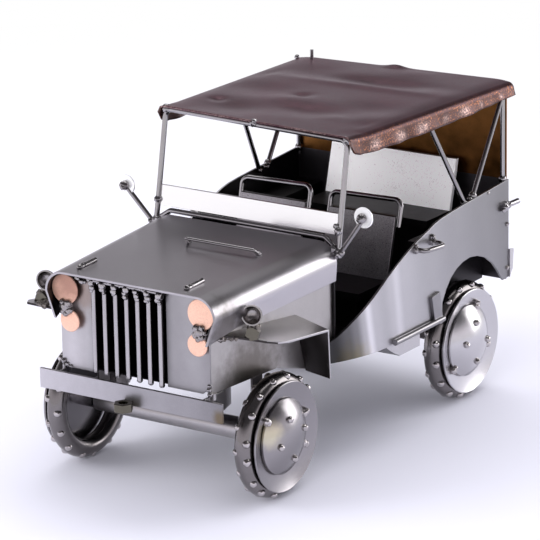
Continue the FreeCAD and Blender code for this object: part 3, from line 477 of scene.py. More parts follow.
wire_real = add_node(wire_tree, "GeometryNodeRealizeInstances", {"Geometry": wire_join.outputs[0]})
wire_coat = add_node(
    wire_tree, "GeometryNodeSetMaterial",
    {"Geometry": wire_real.outputs[0], "Material": asked["Material"]},
)
add_node(wire_tree, "NodeGroupOutput", {"Geometry": wire_coat.outputs["Geometry"]})


def weld_wire(
    name, lines, balls, radius, material, bend=0.0, uneven=0.5, closed=False,
    sides=20, replaced=(), body="car",
):
    """Wires along lines of points, with balls of weld; sizes in millimetres."""
    mesh = bpy.data.meshes.new(name)
    points, links = [], []
    for line in lines:
        first = len(points)
        points += [place(*spot) for spot in line]
        links += [(number, number + 1) for number in range(first, len(points) - 1)]
        if closed:
            links.append((len(points) - 1, first))
    sizes = [0.0] * len(points)
    for spot, size in balls:
        points.append(place(*spot))
        sizes.append(size / 1000)
    mesh.from_pydata(points, links, [])
    mesh.attributes.new("ball", "FLOAT", "POINT").data.foreach_set("value", sizes)
    path = bpy.data.objects.new(name + "_path", mesh)
    scene.collection.objects.link(path)
    modifier = path.modifiers.new("welded_wire", "NODES")
    modifier.node_group = wire_tree
    values = {
        "Wire Radius": radius / 1000, "Bend Radius": bend / 1000, "Sides": sides,
        "Unevenness": uneven / 1000, "Material": material,
    }
    for item in wire_tree.interface.items_tree:
        if item.in_out == "INPUT" and item.name in values:
            modifier[item.identifier] = values[item.name]
    made = path.evaluated_get(bpy.context.evaluated_depsgraph_get())
    solid = bpy.data.meshes.new_from_object(made)
    solid.name = name
    solid.shade_smooth()
    solid.set_sharp_from_angle(angle=math.radians(50))
    bpy.data.objects.remove(path)
    join_in(bpy.data.objects.new(name, solid), replaced, body)


def bead_row(start, end, count, size, seed):
    """Uneven beads of weld along a seam, as a list of places and sizes."""
    dice = random.Random(seed)
    beads = []
    for number in range(count):
        share = (number + 0.5) / count
        spot = [a + (b - a) * share + dice.uniform(-0.25, 0.25) * size for a, b in zip(start, end)]
        beads.append((spot, size * dice.uniform(0.7, 1.15)))
    return beads


bright_wire = steel("bright_wire", (0.38, 0.365, 0.375), 0.16, 0.25, 0.15, 0.0)
weld_metal = steel("weld_metal", (0.36, 0.335, 0.335), 0.27, 0.6, 0.3, 0.0)
grille_wire = steel("grille_wire", (0.30, 0.285, 0.29), 0.2, 0.3, 0.2, 0.0)
dice = random.Random(31)
bars, bar_balls = [], []
for number in range(bar_count):
    x = bar_middle + (number - (bar_count - 1) / 2) * bar_gap
    foot = 56.8 - 0.15 * number
    bars.append([(x, bar_station, foot), (x, bar_station, bar_head)])
    bar_balls.append(((x, bar_station, foot + 0.1), 1.3))
    for below, size in ((0.0, 2.0), (1.9, 1.6), (3.4, 1.3)):
        aside = dice.uniform(-0.6, 0.6)
        bar_balls.append(((x + aside, 3.1, 98.0 - below), size * dice.uniform(0.8, 1.2)))
bar_steel = steel("bar_steel", (0.44, 0.42, 0.43), 0.22, 0.3, 0.2, 0.0)
# Painted reflection: each bar is darkened on its faces towards the car's left rear.
paint_shade_by_facing(bar_steel, (0.07, 0.065, 0.065), (0.83, 0.56, 0))
weld_wire(
    "grille_bars_wire", bars, bar_balls, 1.3, bar_steel, uneven=0.6, replaced=["grille_bars"]
)
weld_wire(
    "grille_weld",
    [[(-23.5, 2.9, 99.5), (-12, 2.7, 99.2), (0, 2.8, 99.4), (17.5, 2.9, 99.1)]],
    bead_row((-23.5, 2.9, 99.2), (17.5, 2.9, 99.2), 22, 0.95, 3)
    + bead_row((-31, 4.4, 99.2), (-26, 4.4, 97), 5, 1.3, 4)
    + bead_row((-40.5, 4.6, 58.5), (-35, 4.6, 55.2), 3, 1.15, 5)
    + bead_row((39.8, 4.8, 60.5), (40.6, 4.8, 54.8), 3, 1.1, 6),
    0.8, bright_wire,
)

# Headlamps: a large and a small disc of copper sheet on each side, satin and a little pale.
# A lump of weld between them holds both to the grille panel.


def turns(count):
    """Even angles all the way round."""
    return [2 * math.pi * number / count for number in range(count)]


def skin(rows, count, first=0, closed=False):
    """Faces between rows of points that go round, with the same count in each row."""
    faces = []
    for row in range(rows if closed else rows - 1):
        a, b = first + row * count, first + (row + 1) % rows * count
        for number in range(count):
            after = (number + 1) % count
            faces.append((a + number, b + number, b + after, a + after))
    return faces


def round_disc(x, z, radius, station=2.4, thick=0.9, dish=0.35, rim=64):
    """A disc cut from sheet, its face very slightly domed and its edge rounded."""
    rows = [(radius * share, -dish * (1 - share**2)) for share in (0.25, 0.5, 0.75)]
    rows += [(radius - 0.25, 0.0), (radius, 0.25), (radius, thick - 0.25), (radius - 0.25, thick)]
    points = [place(x, station - dish, z)]
    for out, back in rows:
        for turn in turns(rim):
            points.append(place(x + out * math.cos(turn), station + back, z + out * math.sin(turn)))
    faces = [(0, 1 + number, 1 + (number + 1) % rim) for number in range(rim)]
    faces += skin(len(rows), rim, 1)
    last = 1 + (len(rows) - 1) * rim
    faces.append([last + number for number in range(rim)])
    return points, faces


def mesh_piece(name, parts, material, replaced=(), body="car", edge=None):
    """Point and face lists joined into one smooth piece."""
    points, faces = [], []
    for more_points, more_faces in parts:
        first = len(points)
        points += more_points
        faces += [[first + number for number in face] for face in more_faces]
    mesh = bpy.data.meshes.new(name)
    mesh.from_pydata(points, [], faces)
    work = bmesh.new()
    work.from_mesh(mesh)
    bmesh.ops.remove_doubles(work, verts=work.verts, dist=0.000002)
    bmesh.ops.recalc_face_normals(work, faces=work.faces)
    work.to_mesh(mesh)
    work.free()
    mesh.materials.append(material)
    mesh.shade_smooth()
    mesh.set_sharp_from_angle(angle=math.radians(30))
    piece = bpy.data.objects.new(name, mesh)
    if edge:
        rub_edges(piece, edge)
    join_in(piece, replaced, body)


for side, sign, large_x, small_x in (("left", 1, 38.1, 35.9), ("right", -1, -36.2, -33.8)):
    lamp_copper = steel(
        "lamp_copper_" + side, (0.95, 0.60, 0.46), 0.5, 0.15, 0.6, 0.05,
        heat_and_painted_light_at=(-34, 2, 96) if side == "right" else None, heat_and_painted_light_colour=(0.30, 0.15, 0.12),
    )
    lamp_copper.node_tree.nodes["Principled BSDF"].inputs["Metallic"].default_value = 0.75
    mesh_piece(
        "headlamp_discs_" + side,
        [round_disc(large_x, 93.0, 7.1), round_disc(small_x, 78.5, 5.2, 2.2)],
        lamp_copper, ["headlamp_" + side],
    )
    lumps = (
        (-0.6, 2.9, 85.0, 2.9), (-2.0, 2.0, 86.6, 1.9), (0.8, 2.0, 87.0, 1.6),
        (-2.4, 2.2, 83.4, 1.9), (0.6, 2.2, 82.8, 1.8), (1.4, 3.0, 85.0, 1.9),
        (-0.9, 1.8, 81.8, 1.5), (0, 3.8, 81.2, 1.3), (0, 3.8, 88.0, 1.3),
    )
    weld_wire(
        "headlamp_weld_" + side, [],
        [((large_x + sign * out, station, z), size) for out, station, z, size in lumps],
        1.0, weld_metal, uneven=0.9,
    )

# Engine bay sides: upright sheets under the hood that spread back to the cowl. The weld to the bracket
# has browned their lower front corners, which are also darkened with painted shade under the fender.
for side, sign in (("left", 1), ("right", -1)):
    engine_side_steel = steel(
        "engine_side_steel_" + side, (0.42, 0.40, 0.395), 0.34, 0.25, 0.15, 0.3,
        heat_and_painted_light_at=(sign * 42, 34, 58), heat_and_painted_light_reach=0.03, heat_and_painted_light_colour=(0.10, 0.085, 0.07),
    )
    cut_sheet("engine_side_" + side, engine_side_steel)
weld_wire(
    "engine_side_weld", [],
    bead_row((43.6, 26, 78.6), (46, 34, 80.4), 7, 1.0, 11)
    + bead_row((41.6, 10, 79.5), (43, 22, 79.5), 9, 1.0, 12)
    + bead_row((-43.6, 12, 80.6), (-45, 30, 81.4), 9, 1.0, 13),
    1.0, weld_metal, uneven=0.9,
)

# Cowl wall, the floors of engine bay and cabin and the boxes over the rear wheels: plain sheet,
# coloured near black as painted shade inside the body.
inside_shade_steel = steel("inside_shade_steel", (0.035, 0.032, 0.035), 0.45, 0.5)
for node in ("bay_floor", "firewall", "floor", "wheel_house_left", "wheel_house_right"):
    cut_sheet(node, inside_shade_steel, 0.00012)

# Hood: one sheet bent over both shoulders, satin outside and painted dark inside as shade, browned by
# heat and darkened with painted shade at its left front corner. It sits a little askew, its front
# further to the left.
hood_askew = 0.0018
hood_steel = steel(
    "hood_steel", (0.47, 0.45, 0.475), 0.3, 0.1, 0.05, 0.0, heat_and_painted_light_at=(47, 8, 87),
    heat_and_painted_light_reach=0.017, heat_and_painted_light_colour=(0.09, 0.075, 0.06),
)
paint_shade_by_facing(hood_steel, (0.03, 0.027, 0.027), (1, 0, 1), 0.4, (0, 40, 80))
hood = cut_sheet("hood", hood_steel, 0.0002)
hood_front = min(point.co.y for point in hood.data.vertices)
hood_rear = max(point.co.y for point in hood.data.vertices)
for point in hood.data.vertices:
    point.co.x += hood_askew * (hood_rear - point.co.y) / (hood_rear - hood_front)

# Hood fittings: a bar of thin wire for the folded screen and two short catch pins, each
# with a ball of weld at its front.
weld_wire(
    "hood_rest_bar_wire",
    [[(29.5, 61.8, 103.4), (28.9, 58.2, 106.6), (-8.3, 58.2, 106.6), (-8.9, 61.8, 103.4)]],
    [((29.3, 61.4, 104.0), 1.5), ((-9.0, 61.6, 103.8), 1.2)],
    0.9, bright_wire, bend=0.8, replaced=["hood_rest_bar"],
)
catches = ((-30.5, 7.0), (29.2, 5.6))
weld_wire(
    "hood_catch_wires",
    [[(x, start, 102.9), (x, start + 11.5, 103.4)] for x, start in catches],
    [((x, start - 0.4, 103.0), 1.4) for x, start in catches]
    + [((x, start + 2.4, 103.3), 1.3) for x, start in catches],
    1.2, grille_wire, uneven=0.6, replaced=["hood_catches"],
)

# Front fenders: twisted plates with a flange bent down at the rear, painted dark below as shade, and
# burnt and darkened with painted shade at their inner front corners. The tip of the right one is bent
# further out and up.
tip_from, tip_width, tip_out, tip_up, flange_top = 0.046, 0.016, 0.0022, 0.0019, 0.07
for side, sign in (("left", 1), ("right", -1)):
    fender_steel = steel(
        "fender_steel_" + side, (0.46, 0.445, 0.46), 0.34, 0.25, 0.15, 0.1,
        heat_and_painted_light_at=(sign * 46, 16, 79), heat_and_painted_light_reach=0.017, heat_and_painted_light_colour=(0.10, 0.08, 0.06),
    )
    paint_shade_by_facing(fender_steel, (0.05, 0.045, 0.045), (0, -0.9, -0.45))
    fender = cut_sheet("fender_" + side, fender_steel, 0.00025)
    if side == "right":
        for point in fender.data.vertices:
            outward = min(1.0, max(0.0, (-point.co.x - tip_from) / tip_width))
            point.co.x -= tip_out * outward
            if point.co.z > flange_top:
                point.co.z += tip_up * outward

# Side lamps: a hollow half ball, open towards the front, on a small nut lying on the fender.
# The lump of weld that holds it has burnt and spattered the sheet round it.
cup_outer, cup_inner, cup_count, cup_steps = 4.8, 4.15, 48, 14
lamp_height, nut_half_flat, nut_half_height, nut_turn = 17.2, 2.9, 2.0, 0.25
lamp_steel = steel("lamp_steel", (0.32, 0.30, 0.295), 0.24, 0.5)
lamp_nut_steel = steel("lamp_nut_steel", (0.13, 0.12, 0.10), 0.16, 1.2)
burnt_weld = steel("burnt_weld", (0.20, 0.18, 0.165), 0.28, 1.2, 0.4, 0.0)
for side, sign, x, station, cup_aside, cup_up, open_way, spatter_reach in (
    ("left", 1, 51.0, 25.2, 1.1, 11.6, (0.35, -0.93, 0.06), 12.0),
    ("right", -1, -55.4, 12.0, 4.2, 12.6, (0.20, -0.97, 0.06), 7.0),
):
    foot_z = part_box("side_lamp_" + side)[1][2] * 1000 - lamp_height
    centre = Vector((x + cup_aside, station - 3.6, foot_z + cup_up))
    facing = Vector(open_way).to_track_quat("Z", "Y").to_matrix()
    rows = [(cup_outer, step) for step in range(1, cup_steps + 1)]
    rows += [(cup_inner, step) for step in range(cup_steps, 0, -1)]
    points = []
    for size, step in rows:
        lean = math.pi / 2 * step / cup_steps
        for turn in turns(cup_count):
            out = math.sin(lean)
            local = Vector((out * math.cos(turn), out * math.sin(turn), -math.cos(lean)))
            points.append(place(*(centre + facing @ local * size)))
    last = (len(rows) - 1) * cup_count
    caps = [list(range(cup_count)), list(range(last, last + cup_count))]
    mesh_piece(
        "side_lamp_cup_" + side, [(points, skin(len(rows), cup_count) + caps)],
        lamp_steel, ["side_lamp_" + side],
    )
    corner = nut_half_flat / math.cos(math.pi / 6)
    nut_centre = Vector((x, station - 1.0, foot_z + 2.5))
    nut_points = []
    for back in (-nut_half_height, nut_half_height):
        for turn in turns(6):
            out = turn + nut_turn
            local = Vector((corner * math.cos(out), corner * math.sin(out), back))
            nut_points.append(place(*(nut_centre + facing @ local)))
    nut_faces = [list(range(6)), list(range(6, 12))] + skin(2, 6)
    mesh_piece("side_lamp_nut_" + side, [(nut_points, nut_faces)], lamp_nut_steel)
    spatter = [
        ((centre.x - 0.3, centre.y + 2.4, centre.z - 4.6), 2.2),
        ((centre.x - 1.9, centre.y + 1.4, centre.z - 4.6), 1.5),
        ((centre.x + 1.6, centre.y + 2.0, centre.z - 5.4), 1.5),
        ((x - 1.0, station - 1.0, foot_z + 5.2), 1.9),
    ]
    dice = random.Random(40 + sign)
    for number in range(16):
        out = dice.uniform(0.6, spatter_reach)
        back = station - 2.0 - out * 0.75 + dice.uniform(-3, 3)
        lift = 0.3 + out * 0.1 if side == "left" else 1.9
        spatter.append(((x - sign * out, back, foot_z + lift), dice.uniform(0.7, 1.6)))
    weld_wire("side_lamp_weld_" + side, [], spatter, 1.6, burnt_weld, uneven=1.4)

# Body sides: sheets swept down from the rear corners to low doors, curled in to the cowl, rubbed satin
# outside and painted dark inside as shade, with a straw tint at the curl's foot. Upright bands of
# painted reflection run along them, darker towards the rear. The rear panel welded between them is
# left darker.
body_painted_reflection = (
    (98, 0.05), (105, 0.14), (109.5, 0.24), (114, 0.52), (117, 0.85), (120.5, 0.58), (128, 0.51),
    (134, 0.57), (138.5, 0.70), (144, 0.54), (168, 0.44), (193, 0.37), (220, 0.31), (240, 0.26),
)
for side, sign in (("left", 1), ("right", -1)):
    body_steel = steel(
        "body_steel_" + side, (0.85, 0.83, 0.86), 0.32, 0.12, 0.15, 0.08,
        heat_and_painted_light_at=(sign * 56, 98, 46), heat_and_painted_light_reach=0.014, heat_and_painted_light_colour=(0.86, 0.75, 0.48),
    )
    paint_light_bands(body_steel, body_painted_reflection, lean=0.14)
    paint_shade_by_facing(body_steel, (0.04, 0.037, 0.04), (-sign, 0, 0), 0.5)
    cut_sheet("body_side_" + side, body_steel, 0.0003)
cut_sheet("rear_panel", steel("rear_steel", (0.14, 0.13, 0.14), 0.38, 0.4))

# Steps: small boxes of satin sheet under the doors, bent up and rounded towards the front,
# each closed by a plate on its outer face.


def plate_on_edge(profile, left, right):
    """Points and faces of a plate with the given outline seen from the side, in mm."""
    count = len(profile)
    points = [place(x, station, z) for x in (left, right) for station, z in profile]
    faces = [list(range(count)), list(range(count, 2 * count))]
    return points, faces + skin(2, count)


step_steel = steel("step_steel", (0.5, 0.485, 0.5), 0.34, 0.4)
step_outline = [
    (116, 51), (124, 45.4), (129, 42.4), (132, 41.2), (135, 40.9), (150, 40.9), (150, 51),
]
for side, sign in (("left", 1), ("right", -1)):
    cut_sheet("side_step_" + side, step_steel)
    step_face = plate_on_edge(step_outline, sign * 58.9, sign * 59.9)
    mesh_piece("side_step_face_" + side, [step_face], step_steel)

# Front seats: a thick plate on a box, a coarse-grained back and a bent wire hoop, all welded together.
# The plate and box are near black and the top of the back is darkened, as painted shade.
seat_middle, seat_half, seat_box_half = 25.3, 18.6, 14.6
floor_top = 52.2


def low_box(half, front, rear, low, high, x=0.0):
    """Points and faces of a square box of sheet, as wide as twice `half` about x."""
    outline = [(front, low), (rear, low), (rear, high), (front, high)]
    return plate_on_edge(outline, x - half, x + half)


seat_steel = steel("seat_steel", (0.40, 0.38, 0.40), 0.36, 0.5, 1.6, 0.0)
paint_shade_by_facing(seat_steel, (0.035, 0.03, 0.03), (0, 0, 1))
seat_back = [(146, 67.4), (148, 67.4), (156.6, 100.4), (154.6, 100.4)]
for side, x in (("left", seat_middle), ("right", -seat_middle)):
    mesh_piece(
        "seat_plates_" + side, [plate_on_edge(seat_back, x - seat_half, x + seat_half)],
        seat_steel, replaced=["seat_" + side], edge=0.0003,
    )
    mesh_piece(
        "seat_box_" + side,
        [
            low_box(seat_half, 122, 147.2, 67.4, 71, x),
            low_box(seat_box_half, 126, 143, floor_top, 67.5, x),
        ],
        inside_shade_steel,
    )
    hoop_left, hoop_right = x - seat_half, x + seat_half + 2.0
    hoop = [
        (hoop_left, 154.6, 95.6), (hoop_left, 157.4, 107),
        (hoop_right, 157.4, 108), (hoop_right, 154.6, 95.6),
    ]
    weld_wire("seat_hoop_" + side, [hoop], [], 1.2, bright_wire, bend=3.6)

# Rear bench: a plate on a box between the wheel houses, with a wide back of bright,
# coarse-grained sheet.
bench_half, bench_box_half = 35.8, 31.8


def coarse_grain(tree, colour):
    """Bright and dull specks of a coarse grain on a colour."""
    here = add_node(tree, "ShaderNodeTexCoord").outputs["Object"]
    grain = maths(tree, "MULTIPLY_ADD", cloud(tree, here, 1500, 2, 0.7), 2.8, -0.1)
    return scaled(tree, colour, maths(tree, "MINIMUM", grain, 1.1))


bench_steel = steel("bench_steel", (1.0, 0.97, 0.985), 0.34, 0.4, 0.8, 0.0)
bench_steel.node_tree.nodes["Principled BSDF"].inputs["Metallic"].default_value = 0.12
recolour(bench_steel, coarse_grain)
# Painted shade: the top of the bench back is darkened, and its plate and box are near black.
paint_shade_by_facing(bench_steel, (0.035, 0.03, 0.03), (0, 0, 1), 0.7)
bench_back = [(216, 82.9), (218.4, 82.9), (226.2, 111), (223.8, 111)]
mesh_piece(
    "bench_plates", [plate_on_edge(bench_back, -bench_half, bench_half)], bench_steel,
    replaced=["rear_bench"], edge=0.0003,
)
mesh_piece(
    "bench_box",
    [
        low_box(bench_half, 196, 218.6, 82.9, 86.5),
        low_box(bench_box_half, 200, 217, floor_top, 83),
    ],
    inside_shade_steel,
)

# Steering wheel: a ring of thin wire with one spoke, leaning back at 45 degrees. Its column
# is one wire up from the foot of the cowl wall, with a ball of weld at the hub.
hub_x, hub_station, hub_z, ring_radius, ring_lean = 25.3, 111, 92, 10, 0.707
ring = []
for turn in turns(48):
    up = ring_radius * ring_lean * math.sin(turn)
    ring.append((hub_x + ring_radius * math.cos(turn), hub_station - up, hub_z + up))
weld_wire(
    "steering_wheel_ring", [ring], [], 0.8, bright_wire, closed=True, replaced=["steering_wheel"]
)
hub = (hub_x, hub_station, hub_z)
spoke = [(hub_x - ring_radius, hub_station, hub_z), (hub_x + ring_radius, hub_station, hub_z)]
weld_wire("steering_wheel_column", [[(hub_x, 93, 73), hub], spoke], [(hub, 1.6)], 0.8, bright_wire)

# Screen: two wire posts and a top wire, with a second wire along its foot that bends down
# at its ends; every joint is a ball of weld. A mirror-bright plate stands on its foot.
post_foot, post_head = Vector((50.8, 94.3, 98.6)), Vector((49.4, 102.5, 152.0))


def post_spot(sign, z):
    """A point on the line of a screen post at the given height."""
    share = (z - post_foot.z) / (post_head.z - post_foot.z)
    spot = post_foot + (post_head - post_foot) * share
    return (sign * spot.x, spot.y, z)


head_right, head_left = post_spot(-1, 152.45), (51.4, 102.4, 150.3)
weld_wire(
    "screen_wires",
    [
        [post_spot(-1, 98.9), head_right, head_left, post_spot(1, 98.9)],
        [post_spot(-1, 100.2), (-43, 95.3, 105.6), (43, 95.3, 105.6), post_spot(1, 100.2)],
    ],
    [
        (head_right, 2.2), ((0.5, 101.6, 152.2), 1.9), ((1.8, 100.9, 153.2), 1.2),
        (head_left, 1.9), ((50.6, 101.9, 151.3), 1.3), (post_spot(1, 100.0), 2.4),
        ((51.6, 93.2, 98.8), 1.9), ((49.0, 93.2, 101.2), 1.7), (post_spot(-1, 100.0), 2.4),
        ((-49.2, 93.4, 101.0), 1.7), ((50.6, 94.6, 109.4), 1.9), ((49.4, 94.8, 111.6), 1.3),
        ((-50.6, 95.4, 110.0), 1.7),
    ],
    1.3, bright_wire, bend=3.4, uneven=0.9, replaced=["screen_frame"],
)
screen_plate_steel = steel("screen_plate_steel", (0.97, 0.96, 0.97), 0.16, 0.05, 0.05, 0.1)
cut_sheet("screen_plate", screen_plate_steel, 0.0002)

# Mirrors: a round bright plate with a ball in its middle, at the end of a wire arm from the
# foot of each screen post.
mirror_steel = steel("mirror_steel", (1.0, 0.99, 1.0), 0.16, 0.05, 0.05, 0.0)
mirror_steel.node_tree.nodes["Principled BSDF"].inputs["Metallic"].default_value = 0.35
for side, sign, x, station, z in (
    ("left", 1, 64.9, 93.5, 118.2), ("right", -1, -65.9, 91.5, 115.7),
):
    mesh_piece(
        "mirror_plate_" + side, [round_disc(x, z, 4.9, station, 1.0, 0.03)],
        mirror_steel, ["mirror_" + side],
    )
    weld_wire(
        "mirror_arm_" + side,
        [[(sign * 52.4, 93.6, 99.6), (x, station + 0.3, z - 0.7)]],
        [
            ((x, station - 1.3, z), 2.4), ((x - sign * 0.4, station - 2.9, z - 0.4), 1.3),
            ((sign * 53.0, 93.4, 99.9), 1.6),
        ],
        1.15, grille_wire, uneven=0.8,
    )

# Roof carriers: a post in each rear corner of the body, the two joined by a wire across the
# rear, and a V of two wires on each side from the body's edge.
roof_front, roof_length, roof_top = 100.2, 133.2, 154.8
roof_front_half, roof_widening = 51.7, 10.7
carrier_x, rear_post_station = 58.7, 228.7


def roof_half(station):
    """Half the width of the roof sheet at a station: it widens towards the rear."""
    return roof_front_half + (station - roof_front) / roof_length * roof_widening


def roof_z(x, station):
    """Height of the roof sheet's top: it is twisted, high at its right front corner."""
    back = (station - roof_front) / roof_length
    left = (1 + x / roof_half(station)) / 2
    return roof_top - left * (2.0 + back * 1.3) - (1 - left) * back * 5.9


for side, sign in (("left", 1), ("right", -1)):
    x = sign * carrier_x
    post_top = roof_z(x, rear_post_station) - 3.2
    middle_top = roof_z(0, rear_post_station) - 2.1
    weld_wire(
        "rear_post_wire_" + side,
        [[
            (x, rear_post_station, 99.9), (x, rear_post_station, post_top),
            (0, rear_post_station, middle_top),
        ]],
        [((x, 228.5, 103.2), 2.0), ((x, 227.6, post_top - 0.4), 1.9)],
        1.2, bright_wire, bend=2.4, replaced=["rear_post_" + side],
    )
    front_x = sign * min(carrier_x, roof_half(165.0) - 3.1)
    rear_x = sign * 59.4
    weld_wire(
        "roof_strut_wires_" + side,
        [
            [(x, 193.0, 99.4), (front_x, 165, roof_z(front_x, 165) - 3.1)],
            [(x, 199.5, 99.4), (rear_x, 229.5, roof_z(rear_x, 229.5) - 3.2)],
        ],
        [
            ((x, 192.6, 99.9), 1.6), ((x, 200.6, 101.6), 1.9), ((x, 197.8, 100.4), 1.3),
            ((front_x, 165.3, roof_z(front_x, 165) - 3.9), 1.5),
        ],
        1.15, grille_wire, uneven=0.9, replaced=["roof_strut_" + side],
    )

# Roof: one sheet of thin copper, dull and dark from the flame, lying dented over its wires with both
# side edges beaten down. The edges are rubbed back to a red speckle, with pale beaten spots on them
# and along the front edge that are partly painted highlights.
roof_dents = [
    (-22, 120, -1.6, 15, 13), (10, 134, -1.7, 16, 10), (-30, 160, -1.2, 18, 14),
    (34, 152, -0.9, 14, 12), (6, 200, -1.7, 34, 8), (-34, 208, -0.8, 14, 12),
    (4, 188, 0.9, 34, 5), (38, 196, 0.5, 12, 8), (-12, 148, 0.5, 10, 8),
    (10, 222, 0.5, 14, 9), (-38, 129, -0.9, 4, 4), (-10, 159, -1.0, 5, 4),
    (46, 126, -0.6, 6, 9), (26, 128, 0.4, 8, 6), (-52, 190, -0.6, 5, 9),
]
beaten_glint_spots = [(119, 3.5), (140, 4), (157, 4.5), (176, 2.2), (191, 3.5), (205, 1.2), (222, 1.2)]
along, across, roll, drop = 120, 96, 7, 6
fold_radius, sheet_thickness, corner_out, edge_sag = 3.4, 0.8, 2.2, 1.3
lip_front, lip_narrowing, lip_belly = 5.4, 2.8, 1.6
columns = across + 2 * (roll + drop)
roof_points, roof_rub, roof_beaten_glint = [], [], []
for row in range(along + 1):
    back = roof_length * row / along
    station = roof_front + back
    half = roof_half(station)
    flat_half = half - fold_radius
    for column in range(columns + 1):
        step = column - roll - drop
        over = max(-step, step - across, 0)
        share = min(1, max(0, step / across))
        x = flat_half * (2 * share - 1) + share * corner_out * (1 - row / along)
        z = roof_z(flat_half * (2 * share - 1), station) - 0.25
        near_edge = max(0, 1 - (half - abs(x)) / 11)
        z -= edge_sag * near_edge**2 * min(1, row / 12)
        inside = min(1, (1 - abs(2 * share - 1)) * 9) * min(1, row / 6, (along - row) / 6)
        for dent_x, dent_station, depth, wide_reach, long_reach in roof_dents:
            away = ((x - dent_x) / wide_reach) ** 2 + ((station - dent_station) / long_reach) ** 2
            z += inside * depth * math.exp(-away)
        if row > along - 5:
            z += 1.2 * (row - along + 5) / 5 * math.exp(-(((x + 4) / 5.5) ** 2))
        beaten_glint = 0.0
        if over:
            side = -1 if step < 0 else 1
            bent = min(1, over / roll) * math.pi / 2
            x += side * fold_radius * math.sin(bent)
            z -= fold_radius * (1 - math.cos(bent)) * min(1, 0.45 + back / 12)
            down = max(0, over - roll) / drop
            tall = lip_front - lip_narrowing * row / along
            tall += lip_belly * math.sin(math.pi * row / along)
            tall += math.sin(station * 0.33) * 0.15
            ripple = math.sin(station * 0.42 + side) * 0.2 + math.sin(station * 0.19 + 2) * 0.2
            x += side * down * (0.9 + ripple)
            z -= down * tall * min(1, 0.35 + back / 4)
        if over > 1:
            for spot, reach in beaten_glint_spots:
                beaten_glint += math.exp(-(((station - spot) / reach) ** 2) - ((over - 10) / 2.5) ** 2)
        roof_points.append(place(x, station, z))
        roof_rub.append(0.14 + 0.86 * min(1.0, over / 6))
        roof_beaten_glint.append(0.8 if row == 0 else min(1.0, beaten_glint))
roof_faces = []
for row in range(along):
    for column in range(columns):
        a = row * (columns + 1) + column
        roof_faces.append((a, a + 1, a + columns + 2, a + columns + 1))
roof_mesh = bpy.data.meshes.new("roof_copper_sheet")
roof_mesh.from_pydata(roof_points, [], roof_faces)
for label, values in (("rubbed", roof_rub), ("beaten_glint", roof_beaten_glint)):
    roof_mesh.attributes.new(label, "FLOAT", "POINT").data.foreach_set("value", values)
roof_mesh.shade_smooth()


def burnt_and_rubbed(tree, colour):
    """Copper darkened at its edges, with red specks rubbed bare and pale beaten spots that are partly
    painted highlights.
    """
    here = add_node(tree, "ShaderNodeTexCoord").outputs["Object"]
    speck = cloud(tree, here, 1150, 3, 0.7)
    stripe = maths(tree, "MULTIPLY_ADD", cloud(tree, here, 120, 2), 2.0, -0.4)
    for label, low, steep, tint in (
        ("rubbed", -0.3, 1.2, (0.045, 0.021, 0.015, 1)),
        ("rubbed", 0.53, 8.0, (0.52, 0.19, 0.08, 1)),
        ("beaten_glint", 0.36, 3.5, (0.78, 0.58, 0.54, 1)),
    ):
        mark = add_node(tree, "ShaderNodeAttribute", attribute_name=label).outputs["Fac"]
        cover = maths(tree, "MULTIPLY", maths(tree, "SUBTRACT", speck, low), steep)
        if low > 0:
            cover = maths(tree, "MULTIPLY", cover, stripe)
        cover = maths(tree, "MULTIPLY", cover, mark)
        bare = add_node(tree, "ShaderNodeMapRange", {"Value": cover, "To Max": 0.9})
        colour = laid_over(tree, bare.outputs["Result"], colour, tint)
    return colour


roof_copper = steel("roof_copper", (0.138, 0.062, 0.085), 0.36, 0.7, 0.9, 0.1)
recolour(roof_copper, burnt_and_rubbed)
roof_shader = roof_copper.node_tree.nodes["Principled BSDF"]
roof_shader.inputs["Coat Weight"].default_value = 0.2
roof_shader.inputs["Coat Roughness"].default_value = 0.34
roof_mesh.materials.append(roof_copper)
roof = bpy.data.objects.new("roof_copper_sheet", roof_mesh)
sheet = roof.modifiers.new("sheet", "SOLIDIFY")
sheet.thickness = sheet_thickness / 1000
sheet.offset = -1
join_in(roof, ["roof_sheet"])
weld_wire(
    "roof_rear_pin", [[(-50.5, 229, 147.9), (-50.5, 229, 153.8)]], [((-61.2, 231.8, 148.2), 1.3)],
    0.9, bright_wire,
)

# Rear curtain: a flat copper sheet between the rear posts, burnt by the flame to a dark and
# cloudy amber.
curtain_copper = steel("curtain_copper", (0.22, 0.095, 0.028), 0.4, 1.8, 0.4, 0.2)
cut_sheet("rear_curtain", curtain_copper, 0.0001)

# Handles: a piece of wire on each body side, bent out and back. Each foot is welded to the
# sheet with a ball, and a second lump stands above it.
for side, sign in (("left", 1), ("right", -1)):
    handle = [(60.4, 144.5, 89.6), (66.4, 144.8, 89.4), (68.2, 161.0, 88.8), (60.4, 159.0, 89.8)]
    handle_balls = (
        (61.6, 144.3, 89.6, 2.0), (61.5, 144.2, 91.2, 1.2), (61.6, 159.3, 89.8, 1.9),
        (61.4, 159.6, 91.8, 1.4),
    )
    weld_wire(
        "grab_handle_wire_" + side,
        [[(sign * x, station, z) for x, station, z in handle]],
        [((sign * x, station, z), size) for x, station, z, size in handle_balls],
        1.2, grille_wire, bend=2.8, uneven=0.9, replaced=["grab_handle_" + side],
    )

# Axe: a round wire shaft low on the left side only, with a flat head of sheet welded upright
# on its front end.
cut_sheet("axe", steel("axe_steel", (0.27, 0.26, 0.27), 0.3, 0.3), 0.0002)

